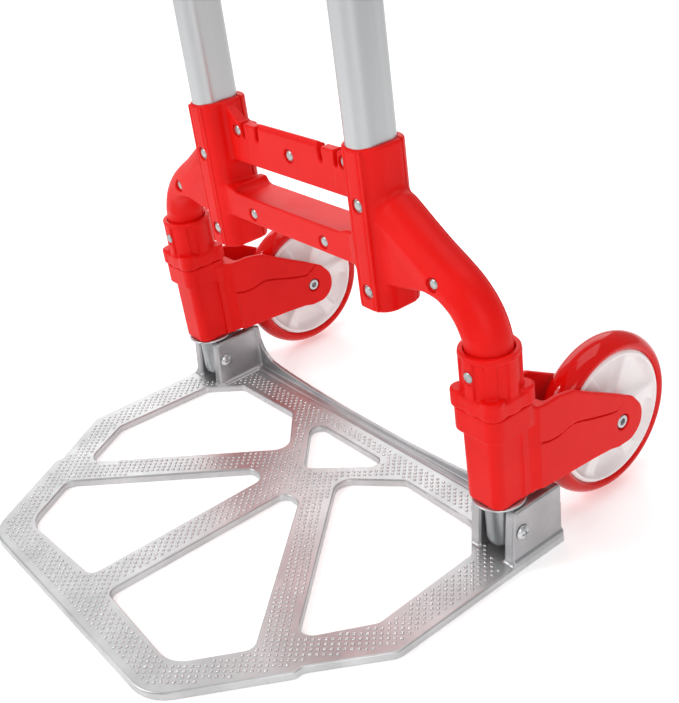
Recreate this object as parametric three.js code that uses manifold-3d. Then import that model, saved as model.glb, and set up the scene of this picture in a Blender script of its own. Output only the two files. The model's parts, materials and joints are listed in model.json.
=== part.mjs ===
// Folding hand truck with a hinged cast toe plate, two swing-in wheels and a telescoping handle.
// Units are millimetres. X is across the truck, +Y points to the wheels, +Z is up, z = 0 is the floor.
import * as THREE from "three";
import { mergeVertices } from "three/addons/utils/BufferGeometryUtils.js";
import Module from "manifold-3d";

// ---- driving dimensions ----
const GAP = 0.3; // running gap between touching pieces
const SHIFT_Y = 64.5; // moves the finished truck so its footprint is centred on the origin

const PLATE_T = 6; // thickness of the toe plate
const PLATE_REAR = 16; // rear edge of the toe plate
const PLATE_FRONT = -269.7; // front edge of the toe plate
const PLATE_HALF = 199; // half width of the toe plate
const LIP_H = 9.6; // height of the stiffening lip at the middle of the rear edge

const HINGE_Y = -23;
const HINGE_Z = 29;
const BRACKET_X = 177; // centre of each hinge bracket, and of each leg
const CHEEK_OUT = 19.8; // outer face of a cheek from the bracket centre
const CHEEK_T = 8.8;
const CHEEK_TOP = 46.5;
const BOLT_R = 3; // hinge bolt

const LEG_Y = -23; // leg axis
const POST_R = 10;
const POST_BOTTOM = 11.5;
const POST_TOP = 178;
const ARM_R = 15.5; // moulded arm around the leg post
const ARM_BOTTOM = 126;
const COLLAR_LOW = 121.8;
const COLLAR_TOP = 162;
const BAND_TOP = 121.4;
const FORK_TOP = 116.4;
const BAND_LOW = 104.5;
const SLEEVE_LOW = 50.2;
const WASHER_LOW = 48.2;

const WHEEL_X = 175.6; // middle plane of each wheel
const AXLE_Y = 81;
const AXLE_Z = 61.8;
const WHEEL_R = 59.7;
const TYRE_HALF = 11.6;
const RIM_R = 49.2; // seat of the tyre on the rim
const HUB_HALF = 12.6;
const ARM_FACE = 21.3; // outer face of a fork arm from the wheel plane
const ARM_WALL = 4.2;
const AXLE_R = 4;

const TUBE_X = 88.9;
const TUBE_Y = -26.3;
const TUBE_W = 24; // outer tube across
const TUBE_D = 33; // outer tube fore and aft
const TUBE_WALL = 1.6;
const TUBE_LOW = 172.4;
const TUBE_TOP = 638;

const SOCKET_LOW = 166;
const SOCKET_TOP = 277.5;
const SOCKET_IN = 73;
const SOCKET_OUT = 104.6;
const FRAME_FRONT = -44.4;
const SEAM_Y = -14; // parting plane of the two frame shells

const YOKE_LOW = 602;
const YOKE_TOP = 642;
const YOKE_BACK = TUBE_Y + 19.5; // rear face of the yoke
const SCREW_Z = 622; // yoke screws
const HANDLE_TRAVEL = 310;
const INNER_LOW = 556; // lower end of the inner tubes with the handle drawn out
const ELBOW_LOW = 955;
const GRIP_Z = 984;
const PIN_Z = 578;

// ---- materials ----
const RED = { color: 0xd81e1a, roughness: 0.45, metalness: 0 };
const TYRE_RED = { color: 0xb5100e, roughness: 0.18, metalness: 0 };
const WHITE = { color: 0xf1eeee, roughness: 0.4, metalness: 0 };
const CAST = { color: 0xa9adb0, roughness: 0.42, metalness: 0.85 };
const STEEL = { color: 0x9fa3a6, roughness: 0.35, metalness: 0.95 };
const ALU = { color: 0xc9cccd, roughness: 0.33, metalness: 0.9 };
const BLACK = { color: 0x1c1c1d, roughness: 0.7, metalness: 0 };

// ---- solids ----
const wasm = await Module();
wasm.setup();
const group = new THREE.Group();
group.name = "hand_truck";

function solid(geometry) {
  const plain = geometry.clone();
  plain.deleteAttribute("normal");
  plain.deleteAttribute("uv");
  const welded = mergeVertices(plain, 1e-4);
  const triVerts = new Uint32Array(welded.index.array);
  const vertProperties = new Float32Array(welded.attributes.position.array);
  const body = new wasm.Manifold(new wasm.Mesh({ numProp: 3, vertProperties, triVerts }));
  if (body.volume() > 0) {
    return body;
  }
  for (let i = 0; i < triVerts.length; i += 3) {
    [triVerts[i], triVerts[i + 1]] = [triVerts[i + 1], triVerts[i]];
  }
  return new wasm.Manifold(new wasm.Mesh({ numProp: 3, vertProperties, triVerts }));
}

function addPart(name, body, look) {
  const mesh = body.getMesh();
  const geometry = new THREE.BufferGeometry();
  geometry.setAttribute("position", new THREE.BufferAttribute(mesh.vertProperties, 3));
  geometry.setIndex(new THREE.BufferAttribute(mesh.triVerts, 1));
  geometry.translate(0, SHIFT_Y, 0);
  geometry.computeVertexNormals();
  const part = new THREE.Mesh(geometry, new THREE.MeshStandardMaterial(look));
  part.name = name;
  group.add(part);
}

function join(bodies) {
  return bodies.reduce((whole, next) => whole.add(next));
}

function cut(body, tools) {
  return tools.reduce((left, tool) => left.subtract(tool), body);
}

// Mirror a solid across the middle plane of the truck.
function mirrored(body) {
  const mesh = body.getMesh();
  const points = Float32Array.from(mesh.vertProperties, (v, i) => (i % 3 === 0 ? -v : v));
  const triVerts = Uint32Array.from(mesh.triVerts);
  for (let i = 0; i < triVerts.length; i += 3) {
    [triVerts[i], triVerts[i + 1]] = [triVerts[i + 1], triVerts[i]];
  }
  return new wasm.Manifold(new wasm.Mesh({ numProp: 3, vertProperties: points, triVerts }));
}

// Round the corners of a closed outline given as [a, b, radius].
function rounded(corners, steps = 3) {
  const points = [];
  corners.forEach(([a, b, radius = 0], i) => {
    if (radius === 0) {
      points.push(new THREE.Vector2(a, b));
      return;
    }
    const here = new THREE.Vector2(a, b);
    const before = corners[(i + corners.length - 1) % corners.length];
    const after = corners[(i + 1) % corners.length];
    const inDir = new THREE.Vector2(before[0] - a, before[1] - b).normalize();
    const outDir = new THREE.Vector2(after[0] - a, after[1] - b).normalize();
    const half = Math.acos(THREE.MathUtils.clamp(inDir.dot(outDir), -1, 1)) / 2;
    const reach = radius / Math.tan(half);
    const bisector = inDir.clone().add(outDir).normalize();
    const centre = here.clone().addScaledVector(bisector, radius / Math.sin(half));
    const start = here.clone().addScaledVector(inDir, reach).sub(centre);
    const end = here.clone().addScaledVector(outDir, reach).sub(centre);
    const turn = Math.atan2(start.x * end.y - start.y * end.x, start.dot(end));
    for (let k = 0; k <= steps; k++) {
      const arm = start.clone().rotateAround(new THREE.Vector2(), (turn * k) / steps);
      points.push(centre.clone().add(arm));
    }
  });
  return points;
}

function circle(a, b, radius, steps = 16) {
  const points = [];
  for (let i = 0; i < steps; i++) {
    const angle = (2 * Math.PI * i) / steps;
    points.push(new THREE.Vector2(a + radius * Math.cos(angle), b + radius * Math.sin(angle)));
  }
  return points;
}

function box2(a0, a1, b0, b1, radius = 0, steps = 3) {
  return rounded([[a0, b0, radius], [a1, b0, radius], [a1, b1, radius], [a0, b1, radius]], steps);
}

// Prism of an outline along one axis; outlines are (x, y) for z, (y, z) for x and (x, z) for y.
function prism(axis, outline, from, to, bevel = 0) {
  const geometry = new THREE.ExtrudeGeometry(new THREE.Shape(outline), {
    depth: to - from - 2 * bevel,
    bevelEnabled: bevel > 0,
    bevelThickness: bevel,
    bevelSize: bevel,
    bevelOffset: -bevel,
    bevelSegments: 1,
  });
  geometry.translate(0, 0, from + bevel);
  if (axis === "x") {
    geometry.applyMatrix4(new THREE.Matrix4().set(0, 0, 1, 0, 1, 0, 0, 0, 0, 1, 0, 0, 0, 0, 0, 1));
  }
  if (axis === "y") {
    geometry.applyMatrix4(new THREE.Matrix4().set(1, 0, 0, 0, 0, 0, 1, 0, 0, 1, 0, 0, 0, 0, 0, 1));
  }
  return solid(geometry);
}

function rod(axis, a, b, radius, from, to, steps = 16) {
  return prism(axis, circle(a, b, radius, steps), from, to);
}

function block(x0, x1, y0, y1, z0, z1) {
  return prism("z", box2(x0, x1, y0, y1), z0, z1);
}

// Turned piece: profile of [radius, height] along an axis through (a, b).
function turned(axis, a, b, profile, steps = 16) {
  const outline = profile.map(([r, h]) => new THREE.Vector2(r, h));
  const geometry = new THREE.LatheGeometry(outline, steps);
  if (axis === "x") {
    geometry.rotateZ(-Math.PI / 2);
    geometry.translate(0, a, b);
  }
  if (axis === "y") {
    geometry.translate(a, 0, b);
  }
  if (axis === "z") {
    geometry.rotateX(Math.PI / 2);
    geometry.translate(a, b, 0);
  }
  return solid(geometry);
}

// Loft between two rounded squares, used for the tapered sleeve of a fork.
function taperedSquare(cx, cy, low, high, halfLow, halfHigh, corner) {
  const bottom = box2(-halfLow, halfLow, -halfLow, halfLow, corner);
  const geometry = new THREE.ExtrudeGeometry(new THREE.Shape(bottom), {
    depth: high - low,
    bevelEnabled: false,
  });
  const position = geometry.attributes.position;
  for (let i = 0; i < position.count; i++) {
    const share = position.getZ(i) / (high - low);
    const scale = 1 + share * (halfHigh / halfLow - 1);
    position.setXY(i, position.getX(i) * scale, position.getY(i) * scale);
  }
  geometry.translate(cx, cy, low);
  return solid(geometry);
}

function bothSides(name, body, look) {
  addPart(`${name}_right`, body, look);
  addPart(`${name}_left`, mirrored(body), look);
}

// ---- toe plate ----
const EDGE_HALF = [
  [PLATE_HALF, PLATE_REAR, 3],
  [PLATE_HALF, -34, 0],
  [200, -137, 5],
  [165, -189, 2],
  [167.4, -192, 1.2],
  [117, PLATE_FRONT, 32],
];

function mirroredCorners(corners) {
  const left = corners.map(([x, y, r]) => [-x, y, r]).reverse();
  return [...corners, ...left];
}

const HOLE_SIDE = [
  [31.4, -50.9, 12],
  [72, -17.3, 6],
  [143, -19, 8],
  [167, -43, 8],
  [171, -128.5, 8],
  [144, -173.5, 9],
];
const HOLE_FRONT = [
  [30.6, -88, 8],
  [131.5, -198.7, 8],
  [103, -243, 22],
  [13, -239, 7],
  [14, -88, 8],
];
const HOLE_REAR = [
  [50, -12, 7],
  [0, -58, 6],
  [-50, -12, 7],
];

function plateCast() {
  const base = prism("z", rounded(mirroredCorners(EDGE_HALF)), 0, PLATE_T, 0.8);
  const windows = [prism("z", rounded(HOLE_REAR), -1, PLATE_T + 1)];
  for (const hole of [HOLE_SIDE, HOLE_FRONT]) {
    const window = prism("z", rounded(hole), -1, PLATE_T + 1);
    windows.push(window, mirrored(window));
  }
  const lipOutline = rounded([
    [7.5, 3, 0],
    [PLATE_REAR, 3, 0],
    [PLATE_REAR, LIP_H, 1.2],
    [12.6, LIP_H, 1],
    [9.5, 7.5, 1.5],
  ]);
  const lipEnd = BRACKET_X + CHEEK_OUT - 1;
  const lip = prism("x", lipOutline, -lipEnd, lipEnd);
  const bodies = [cut(base, windows), lip];
  const sweep = [
    [160, 4], [160, CHEEK_TOP], [156.6, CHEEK_TOP], [155.5, 34], [151, 24.5], [146, 19.8],
    [140, 17], [130, 15.4], [120, 14.3], [105, 13.1], [85, 11.7], [50, 10.2], [20, LIP_H],
  ];
  const riseOutline = [
    ...sweep,
    ...sweep.toReversed().map(([x, z]) => [-x, z]),
  ].map(([x, z]) => new THREE.Vector2(x, z));
  bodies.push(prism("y", riseOutline, 12.6, PLATE_REAR));
  const cheekOutline = rounded([
    [-34, 2, 0],
    [14, 2, 0],
    [15, CHEEK_TOP, 3],
    [-29.5, CHEEK_TOP, 4],
  ]);
  for (const side of [-1, 1]) {
    for (const face of [-1, 1]) {
      const outer = side * BRACKET_X + face * CHEEK_OUT;
      const inner = outer - face * CHEEK_T;
      bodies.push(prism("x", cheekOutline, Math.min(inner, outer), Math.max(inner, outer)));
    }
    const middle = side * BRACKET_X;
    bodies.push(block(middle - 18, middle + 18, 9.5, 14.5, 2, 30));
    const foot = side * (BRACKET_X + CHEEK_OUT);
    bodies.push(block(Math.min(foot - side, foot + side * 1.8), Math.max(foot - side, foot + side * 1.8),
      -33.6, PLATE_REAR - 1, 2, 9.4));
  }
  const bores = [-1, 1].map((side) => {
    const middle = side * BRACKET_X;
    return rod("x", HINGE_Y, HINGE_Z, BOLT_R + GAP, middle - 30, middle + 30);
  });
  const wells = [-1, 1].map((side) => {
    const middle = side * BRACKET_X;
    const half = CHEEK_OUT - CHEEK_T;
    return block(middle - half, middle + half, -38, 9.5, PLATE_T, 60);
  });
  return cut(join(bodies), [...bores, ...wells]);
}
addPart("toe_plate", plateCast(), CAST);

// Hinge bolts: both heads face +X, both nuts face -X.
for (const [word, side] of [["right", 1], ["left", -1]]) {
  const head = side * BRACKET_X + CHEEK_OUT + GAP;
  const tail = side * BRACKET_X - CHEEK_OUT - GAP;
  const bolt = turned("x", HINGE_Y, HINGE_Z, [
    [0, tail - 3.2],
    [BOLT_R - 0.5, tail - 3.2],
    [BOLT_R, tail - 2.7],
    [BOLT_R, head],
    [5.8, head],
    [5.8, head + 1.6],
    [4.6, head + 2.8],
    [0, head + 3.2],
  ]);
  const cross = [
    block(head + 1.6, head + 5, HINGE_Y - 2.6, HINGE_Y + 2.6, HINGE_Z - 0.6, HINGE_Z + 0.6),
    block(head + 1.6, head + 5, HINGE_Y - 0.6, HINGE_Y + 0.6, HINGE_Z - 2.6, HINGE_Z + 2.6),
  ];
  addPart(`hinge_bolt_${word}`, cut(bolt, cross), STEEL);
  const nut = rod("x", HINGE_Y, HINGE_Z, 5.6, tail - 2.6, tail, 6);
  const bore = rod("x", HINGE_Y, HINGE_Z, BOLT_R + GAP, tail - 6, tail + 2);
  addPart(`hinge_nut_${word}`, cut(nut, [bore]), STEEL);
}

// ---- legs ----
const post = cut(
  turned("z", BRACKET_X, LEG_Y, [
    [0, POST_BOTTOM],
    [POST_R - 4.5, POST_BOTTOM],
    [POST_R - 1.4, POST_BOTTOM + 1.4],
    [POST_R, POST_BOTTOM + 5],
    [POST_R, POST_TOP],
    [0, POST_TOP],
  ]),
  [
    rod("x", HINGE_Y, HINGE_Z, BOLT_R + GAP, BRACKET_X - 20, BRACKET_X + 20),
    rod("y", BRACKET_X, 148, 2.2 + GAP, LEG_Y - 20, LEG_Y - 4, 12),
  ],
);
bothSides("leg_post", post, STEEL);

const washer = cut(
  turned("z", BRACKET_X, LEG_Y, [
    [0, WASHER_LOW],
    [18.2, WASHER_LOW],
    [18.2, SLEEVE_LOW - GAP - 0.2],
    [0, SLEEVE_LOW - GAP - 0.2],
  ], 24),
  [rod("z", BRACKET_X, LEG_Y, POST_R + GAP, 40, 60)],
);
bothSides("leg_washer", washer, STEEL);

// ---- wheel forks ----
const FORK_SIDE = [
  [-20, 52.6, 0],
  [-12, 51.6, 0],
  [2, 50, 0],
  [16, 49, 6],
  [31, 48.2, 10],
  [52, 46.8, 10],
  [69, 45, 4],
  [77, 42.8, 4],
  [90, 42.8, 10],
  [101.6, 50, 12],
  [101.6, 66, 12],
  [92, 77.5, 9],
  [74, 88, 30],
  [48, 102, 20],
  [30, 112, 10],
  [16, 114.6, 14],
  [3, 114.6, 5],
  [-3, FORK_TOP, 0],
  [-20, FORK_TOP, 0],
];

function forkSolid() {
  const sleeve = taperedSquare(BRACKET_X, LEG_Y, SLEEVE_LOW, BAND_LOW + 2, 15.8, 16.2, 7.5);
  const band = prism("z", box2(BRACKET_X - 20, BRACKET_X + 20, LEG_Y - 20, LEG_Y + 20, 10),
    BAND_LOW, BAND_TOP, 1);
  const arms = prism("x", rounded(FORK_SIDE, 1), WHEEL_X - ARM_FACE, WHEEL_X + ARM_FACE, 0.9);
  const throat = ARM_FACE - ARM_WALL;
  const channel = prism("z", box2(WHEEL_X - throat, WHEEL_X + throat, 5, 130, 3), 30, 130);
  const nose = block(WHEEL_X - 30, WHEEL_X + 30, -40, -9, 30, 130);
  const open = cut(arms, [channel, nose]);
  const bosses = [-1, 1].map((face) => {
    const inner = WHEEL_X + face * (HUB_HALF + 0.8);
    const outer = WHEEL_X + face * (throat + 1);
    return rod("x", AXLE_Y, AXLE_Z, 9, Math.min(inner, outer), Math.max(inner, outer));
  });
  const recesses = [-1, 1].map((face) => {
    const inner = WHEEL_X + face * (ARM_FACE - 2.2);
    const outer = WHEEL_X + face * (ARM_FACE + 2);
    return rod("x", AXLE_Y, AXLE_Z, 5.9, Math.min(inner, outer), Math.max(inner, outer));
  });
  const notches = [-1, 1].map((face) => {
    const deep = WHEEL_X + face * (ARM_FACE - 5);
    const outer = WHEEL_X + face * (ARM_FACE + 2);
    return block(Math.min(deep, outer), Math.max(deep, outer), -8, 0, 45, 55.5);
  });
  const bore = rod("z", BRACKET_X, LEG_Y, POST_R + GAP, 40, 130);
  const axle = rod("x", AXLE_Y, AXLE_Z, AXLE_R + GAP, WHEEL_X - 30, WHEEL_X + 30);
  const mass = join([sleeve, band, open, ...bosses]);
  return cut(mass, [...notches, bore, axle, ...recesses]);
}
bothSides("wheel_fork", forkSolid(), RED);

// Axle: a barrel with a socket head on the outboard side and a screw on the inboard side.
const axleBarrel = cut(
  turned("x", AXLE_Y, AXLE_Z, [
    [0, WHEEL_X - 10],
    [AXLE_R, WHEEL_X - 10],
    [AXLE_R, WHEEL_X + ARM_FACE - 2.2 + GAP],
    [5.2, WHEEL_X + ARM_FACE - 2.2 + GAP],
    [5.2, WHEEL_X + ARM_FACE - 0.8],
    [4.4, WHEEL_X + ARM_FACE],
    [0, WHEEL_X + ARM_FACE],
  ]),
  [
    rod("x", AXLE_Y, AXLE_Z, 2.4, WHEEL_X + ARM_FACE - 3, WHEEL_X + ARM_FACE + 3, 6),
    rod("x", AXLE_Y, AXLE_Z, 2.2 + GAP, WHEEL_X - 12, WHEEL_X + 4, 12),
  ],
);
bothSides("axle_barrel", axleBarrel, STEEL);
const axleScrew = cut(
  turned("x", AXLE_Y, AXLE_Z, [
    [0, WHEEL_X - ARM_FACE],
    [4.4, WHEEL_X - ARM_FACE],
    [5.2, WHEEL_X - ARM_FACE + 0.8],
    [5.2, WHEEL_X - ARM_FACE + 2.2 - GAP],
    [AXLE_R, WHEEL_X - ARM_FACE + 2.2 - GAP],
    [AXLE_R, WHEEL_X - 10 - GAP],
    [2.2, WHEEL_X - 10 - GAP],
    [2.2, WHEEL_X + 2],
    [0, WHEEL_X + 2],
  ]),
  [rod("x", AXLE_Y, AXLE_Z, 2.4, WHEEL_X - ARM_FACE - 3, WHEEL_X - ARM_FACE + 3, 6)],
);
bothSides("axle_screw", axleScrew, STEEL);

// ---- wheels ----
const tyre = turned("x", AXLE_Y, AXLE_Z, [
  [RIM_R + GAP, WHEEL_X - 10],
  [RIM_R + 3, WHEEL_X - TYRE_HALF],
  [WHEEL_R - 3.4, WHEEL_X - 9],
  [WHEEL_R - 0.7, WHEEL_X - 4.6],
  [WHEEL_R, WHEEL_X],
  [WHEEL_R - 0.7, WHEEL_X + 4.6],
  [WHEEL_R - 3.4, WHEEL_X + 9],
  [RIM_R + 3, WHEEL_X + TYRE_HALF],
  [RIM_R + GAP, WHEEL_X + 10],
  [RIM_R + GAP, WHEEL_X - 10],
], 36);
bothSides("tyre", tyre, TYRE_RED);

const SPOKES = 6;
function rimSolid() {
  const ring = turned("x", AXLE_Y, AXLE_Z, [
    [44.4, WHEEL_X - 11.4],
    [RIM_R - 2, WHEEL_X - 11.4],
    [RIM_R, WHEEL_X - 10],
    [RIM_R, WHEEL_X + 10],
    [RIM_R - 2, WHEEL_X + 11.4],
    [44.4, WHEEL_X + 11.4],
    [42.6, WHEEL_X],
    [44.4, WHEEL_X - 11.4],
  ], 36);
  const hub = rod("x", AXLE_Y, AXLE_Z, 14, WHEEL_X - HUB_HALF, WHEEL_X + HUB_HALF);
  const web = rod("x", AXLE_Y, AXLE_Z, 44, WHEEL_X - 1.6, WHEEL_X + 1.6, 20);
  const ribs = [];
  for (let i = 0; i < SPOKES; i++) {
    const outline = [[-3.4, 8], [3.4, 8], [4.6, 44], [-4.6, 44]].map(([a, b]) => {
      return new THREE.Vector2(a, b).rotateAround(new THREE.Vector2(), (2 * Math.PI * i) / SPOKES);
    });
    const placed = outline.map((p) => new THREE.Vector2(p.x + AXLE_Y, p.y + AXLE_Z));
    ribs.push(prism("x", placed, WHEEL_X - 7.5, WHEEL_X + 7.5));
  }
  const bore = rod("x", AXLE_Y, AXLE_Z, 7.5 + GAP, WHEEL_X - 20, WHEEL_X + 20);
  return cut(join([ring, hub, web, ...ribs]), [bore]);
}
bothSides("rim", rimSolid(), WHITE);

const bush = cut(
  rod("x", AXLE_Y, AXLE_Z, 7.5, WHEEL_X - HUB_HALF, WHEEL_X + HUB_HALF),
  [rod("x", AXLE_Y, AXLE_Z, AXLE_R + GAP, WHEEL_X - 20, WHEEL_X + 20, 12)],
);
bothSides("axle_bush", bush, STEEL);

// ---- collars ----
function collarSolid() {
  const ring = [];
  const FLUTES = 8;
  for (let i = 0; i < FLUTES; i++) {
    const middle = -Math.PI / 2 + (2 * Math.PI * i) / FLUTES;
    for (const [turn, radius] of [[-0.27, 19.8], [0.27, 19.8], [0.32, 18.6], [0.46, 18.6]]) {
      const angle = middle + turn;
      ring.push(new THREE.Vector2(
        BRACKET_X + radius * Math.cos(angle),
        LEG_Y + radius * Math.sin(angle),
      ));
    }
  }
  const flutes = prism("z", ring, 126, COLLAR_TOP - 2);
  const rim = turned("z", BRACKET_X, LEG_Y, [
    [0, 157],
    [20.2, 157],
    [20.2, COLLAR_TOP - 0.8],
    [19.4, COLLAR_TOP],
    [0, COLLAR_TOP],
  ], 24);
  const lip = prism("z", box2(BRACKET_X - 20.4, BRACKET_X + 20.4, LEG_Y - 20.4, LEG_Y + 20.4, 11),
    COLLAR_LOW, 129, 1.2);
  const socket = rod("z", BRACKET_X, LEG_Y, ARM_R + 2 * GAP, ARM_BOTTOM - GAP, 180, 24);
  const bore = rod("z", BRACKET_X, LEG_Y, POST_R + GAP, 100, 180);
  const hole = rod("y", BRACKET_X, 148, 2.2 + GAP, LEG_Y - 40, LEG_Y - 5, 12);
  const seat = rod("y", BRACKET_X, 148, 4.6, LEG_Y - 40, LEG_Y - 19.2);
  return cut(join([flutes, rim, lip]), [socket, bore, hole, seat]);
}
bothSides("collar", collarSolid(), RED);

// ---- frame shells ----
const ARM_PATH = new THREE.CatmullRomCurve3([
  [97, 236], [109, 227.5], [122, 218], [135, 209], [148, 201], [160, 192.5],
  [169.5, 182], [175, 171], [BRACKET_X, 160], [BRACKET_X, 142], [BRACKET_X, ARM_BOTTOM],
].map(([x, z]) => new THREE.Vector3(x, LEG_Y, z)));

// Each rivet: name, x, z, face of the moulding it sits in, length of its shank.
const RIVETS = [
  ["strip_upper", 90, 239.9, FRAME_FRONT, 3.1],
  ["strip_lower", 90, 180.4, FRAME_FRONT, 3.1],
  ["web", 147.7, 200.4, -38.6, 28],
  ["lower_bar", 41.6, 201.1, -39.6, 36],
  ["gusset", 61.5, 258, -29.3, 10.6],
];
const CENTRE_RIVET = ["centre", 0, 250.4, -29.3, 10.6];

const SOCKET_BACK = -5.5;

function frameSide() {
  const armShape = new THREE.Shape(circle(0, 0, ARM_R, 14));
  const arm = solid(new THREE.ExtrudeGeometry(armShape, { steps: 15, extrudePath: ARM_PATH }));
  const socket = prism("z", box2(SOCKET_IN, SOCKET_OUT, -43.4, SOCKET_BACK, 11),
    SOCKET_LOW, SOCKET_TOP, 1.2);
  const strip = prism("z", box2(81.5, 98.5, FRAME_FRONT, -30, 1.2, 1), SOCKET_LOW + 2, SOCKET_TOP - 2);
  const grooves = [83.7, 96.3].map((x) => block(x - 0.6, x + 0.6, -60, FRAME_FRONT + 0.8, 150, 300));
  const webOutline = rounded([
    [95, 234, 0], [95, 185.5, 0], [112, 187.5, 0], [137, 192, 8], [151, 191.6, 8],
    [164, 185.5, 8], [172, 170, 0], [175, 172, 0], [166, 186, 0], [148, 201, 0], [122, 218, 0],
  ], 2);
  const web = prism("y", webOutline, -38.6, -10);
  return join([cut(join([socket, strip]), grooves), web, arm]);
}

function frontBars() {
  const upper = prism("y", box2(-76, 76, 234, 264.5), -29.3, -21.5, 0.8);
  const railOutline = rounded([
    [-27.8, 258, 0], [-21.5, 258, 0], [-21.5, 262.5, 0], [-26.4, 266.8, 0], [-27.8, 266.8, 0.6],
  ], 1);
  const rail = prism("x", railOutline, -34.5, 34.5);
  const gussetOutline = [
    [50, 236], [76, 236], [76, 275.5], [72.5, 275.5], [57.5, 264.5], [50, 264.5],
  ].map(([x, z]) => new THREE.Vector2(x, z));
  const gusset = prism("y", gussetOutline, -29.3, -21.5);
  const lower = prism("y", box2(-76, 76, 193.2, 216), -39.6, -6.8, 1.2);
  const basinOutline = rounded([[-36.4, 230, 0], [-36.4, 213.4, 1.2], [0, 210.5, 0], [0, 230, 0]], 2);
  const basin = prism("x", basinOutline, -68, 68);
  const top = cut(join([upper, rail, gusset, mirrored(gusset)]), strapSlots());
  return join([top, cut(lower, [basin])]);
}

// Two flat bars of the back shell that close the front bars from behind.
function backBars() {
  const upper = prism("y", box2(-76, 76, 238, 257), -21.2, -17.8);
  const lower = prism("y", box2(-76, 76, 195, 208), -6.5, -3.4);
  const ties = block(70, 77, -21.2, -5.6, 238, 257);
  const feet = block(70, 77, -13, -3.4, 195, 208);
  return join([upper, lower, ties, mirrored(ties), feet, mirrored(feet)]);
}

// Slots that take the hooks of an elastic strap.
function strapSlots() {
  const tools = [];
  for (const [x, lean] of [[37, -1.6], [53, 1.6]]) {
    const outline = [[x - 1.8, 254], [x + 1.8, 254], [x + 2 + lean, 280], [x - 2 + lean, 280]];
    const tool = prism("y", outline.map(([a, b]) => new THREE.Vector2(a, b)), -60, 0);
    tools.push(tool, mirrored(tool));
  }
  return tools;
}

function rivetTools() {
  const tools = [];
  for (const [, x, z, face, depth] of [...RIVETS, CENTRE_RIVET]) {
    const recess = rod("y", x, z, 5, face - 10, face + 1.4, 12);
    const hole = rod("y", x, z, 2.2 + GAP, face - 10, face + depth + 1, 8);
    tools.push(recess, hole);
    if (x > 0) {
      tools.push(mirrored(recess), mirrored(hole));
    }
  }
  return tools;
}

function tubeTools() {
  const bore = prism("z", box2(
    TUBE_X - TUBE_W / 2 - GAP, TUBE_X + TUBE_W / 2 + GAP,
    TUBE_Y - TUBE_D / 2 - GAP, TUBE_Y + TUBE_D / 2 + GAP, 10, 4,
  ), TUBE_LOW - GAP, 300);
  const drain = rod("z", TUBE_X, TUBE_Y, 7, 150, 200, 12);
  const leg = rod("z", BRACKET_X, LEG_Y, POST_R + GAP, 100, POST_TOP + GAP);
  const pin = rod("y", BRACKET_X, 148, 2.2 + GAP, LEG_Y - 40, LEG_Y - 4, 8);
  const lock = rod("y", TUBE_X, PIN_Z - HANDLE_TRAVEL, 4.6, TUBE_Y, TUBE_Y + TUBE_D / 2 + 2.4, 10);
  return [bore, drain, leg, pin, lock].flatMap((tool) => [tool, mirrored(tool)]);
}

function frameShells() {
  const side = frameSide();
  const sides = join([side, mirrored(side)]);
  const ahead = block(-250, 250, -80, SEAM_Y - 0.15, 50, 400);
  const behind = block(-250, 250, SEAM_Y + 0.15, 40, 50, 400);
  const tools = [...rivetTools(), ...tubeTools()];
  const bars = frontBars();
  const inner = block(-SOCKET_IN - 1, SOCKET_IN + 1, -80, 40, 50, 400);
  const keepClear = block(-SOCKET_IN + 0.6, SOCKET_IN - 0.6, -80, 40, 50, 400);
  const barMass = bars.intersect(join([ahead, keepClear])).intersect(inner);
  const frontMass = join([sides.intersect(ahead), barMass]);
  const backMass = join([sides.intersect(behind), backBars()]);
  const front = cut(frontMass, tools);
  const relief = block(-SOCKET_IN + 0.3, SOCKET_IN - 0.3, SEAM_Y - 4, -6.5, 190, 220);
  return [front, cut(cut(backMass, tools), [relief]).subtract(frontMass)];
}

const [frontShell, backShell] = frameShells();
addPart("frame_front_shell", frontShell, RED);
addPart("frame_back_shell", backShell, RED);

function rivet(x, z, face, depth) {
  return turned("y", x, z, [
    [0, face + 0.2],
    [3.9, face + 0.8],
    [3.9, face + 1.4 - GAP],
    [2.2, face + 1.4 - GAP],
    [2.2, face + depth],
    [0, face + depth],
  ], 10);
}
for (const [word, x, z, face, depth] of RIVETS) {
  bothSides(`rivet_${word}`, rivet(x, z, face, depth), ALU);
}
addPart("rivet_centre", rivet(...CENTRE_RIVET.slice(1)), ALU);
bothSides("rivet_collar", rivet(BRACKET_X, 148, LEG_Y - 20.6, 14), ALU);

// ---- outer tubes and yoke ----
function ovalTube(low, high, width, depth, wall, corner) {
  const outer = box2(TUBE_X - width / 2, TUBE_X + width / 2, TUBE_Y - depth / 2, TUBE_Y + depth / 2,
    corner, 4);
  const w = width / 2 - wall;
  const d = depth / 2 - wall;
  const inner = box2(TUBE_X - w, TUBE_X + w, TUBE_Y - d, TUBE_Y + d, corner - wall, 4);
  return cut(prism("z", outer, low, high), [prism("z", inner, low - 5, high + 5)]);
}

const outerTube = cut(ovalTube(TUBE_LOW, TUBE_TOP, TUBE_W, TUBE_D, TUBE_WALL, 10), [
  rod("y", 90, 239.9, 2.2 + GAP, -60, TUBE_Y, 8),
  rod("y", 90, 180.4, 2.2 + GAP, -60, TUBE_Y, 8),
  rod("y", TUBE_X, PIN_Z, 4 + GAP, TUBE_Y, TUBE_Y + 30, 12),
  rod("y", TUBE_X, PIN_Z - HANDLE_TRAVEL, 4 + GAP, TUBE_Y, TUBE_Y + 30, 12),
  rod("y", TUBE_X, SCREW_Z, 1.7 + GAP, TUBE_Y, TUBE_Y + 30, 8),
]);
bothSides("outer_tube", outerTube, ALU);

const INNER_W = TUBE_W - 2 * TUBE_WALL - 1.2;
const INNER_D = TUBE_D - 2 * TUBE_WALL - 1.2;

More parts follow.
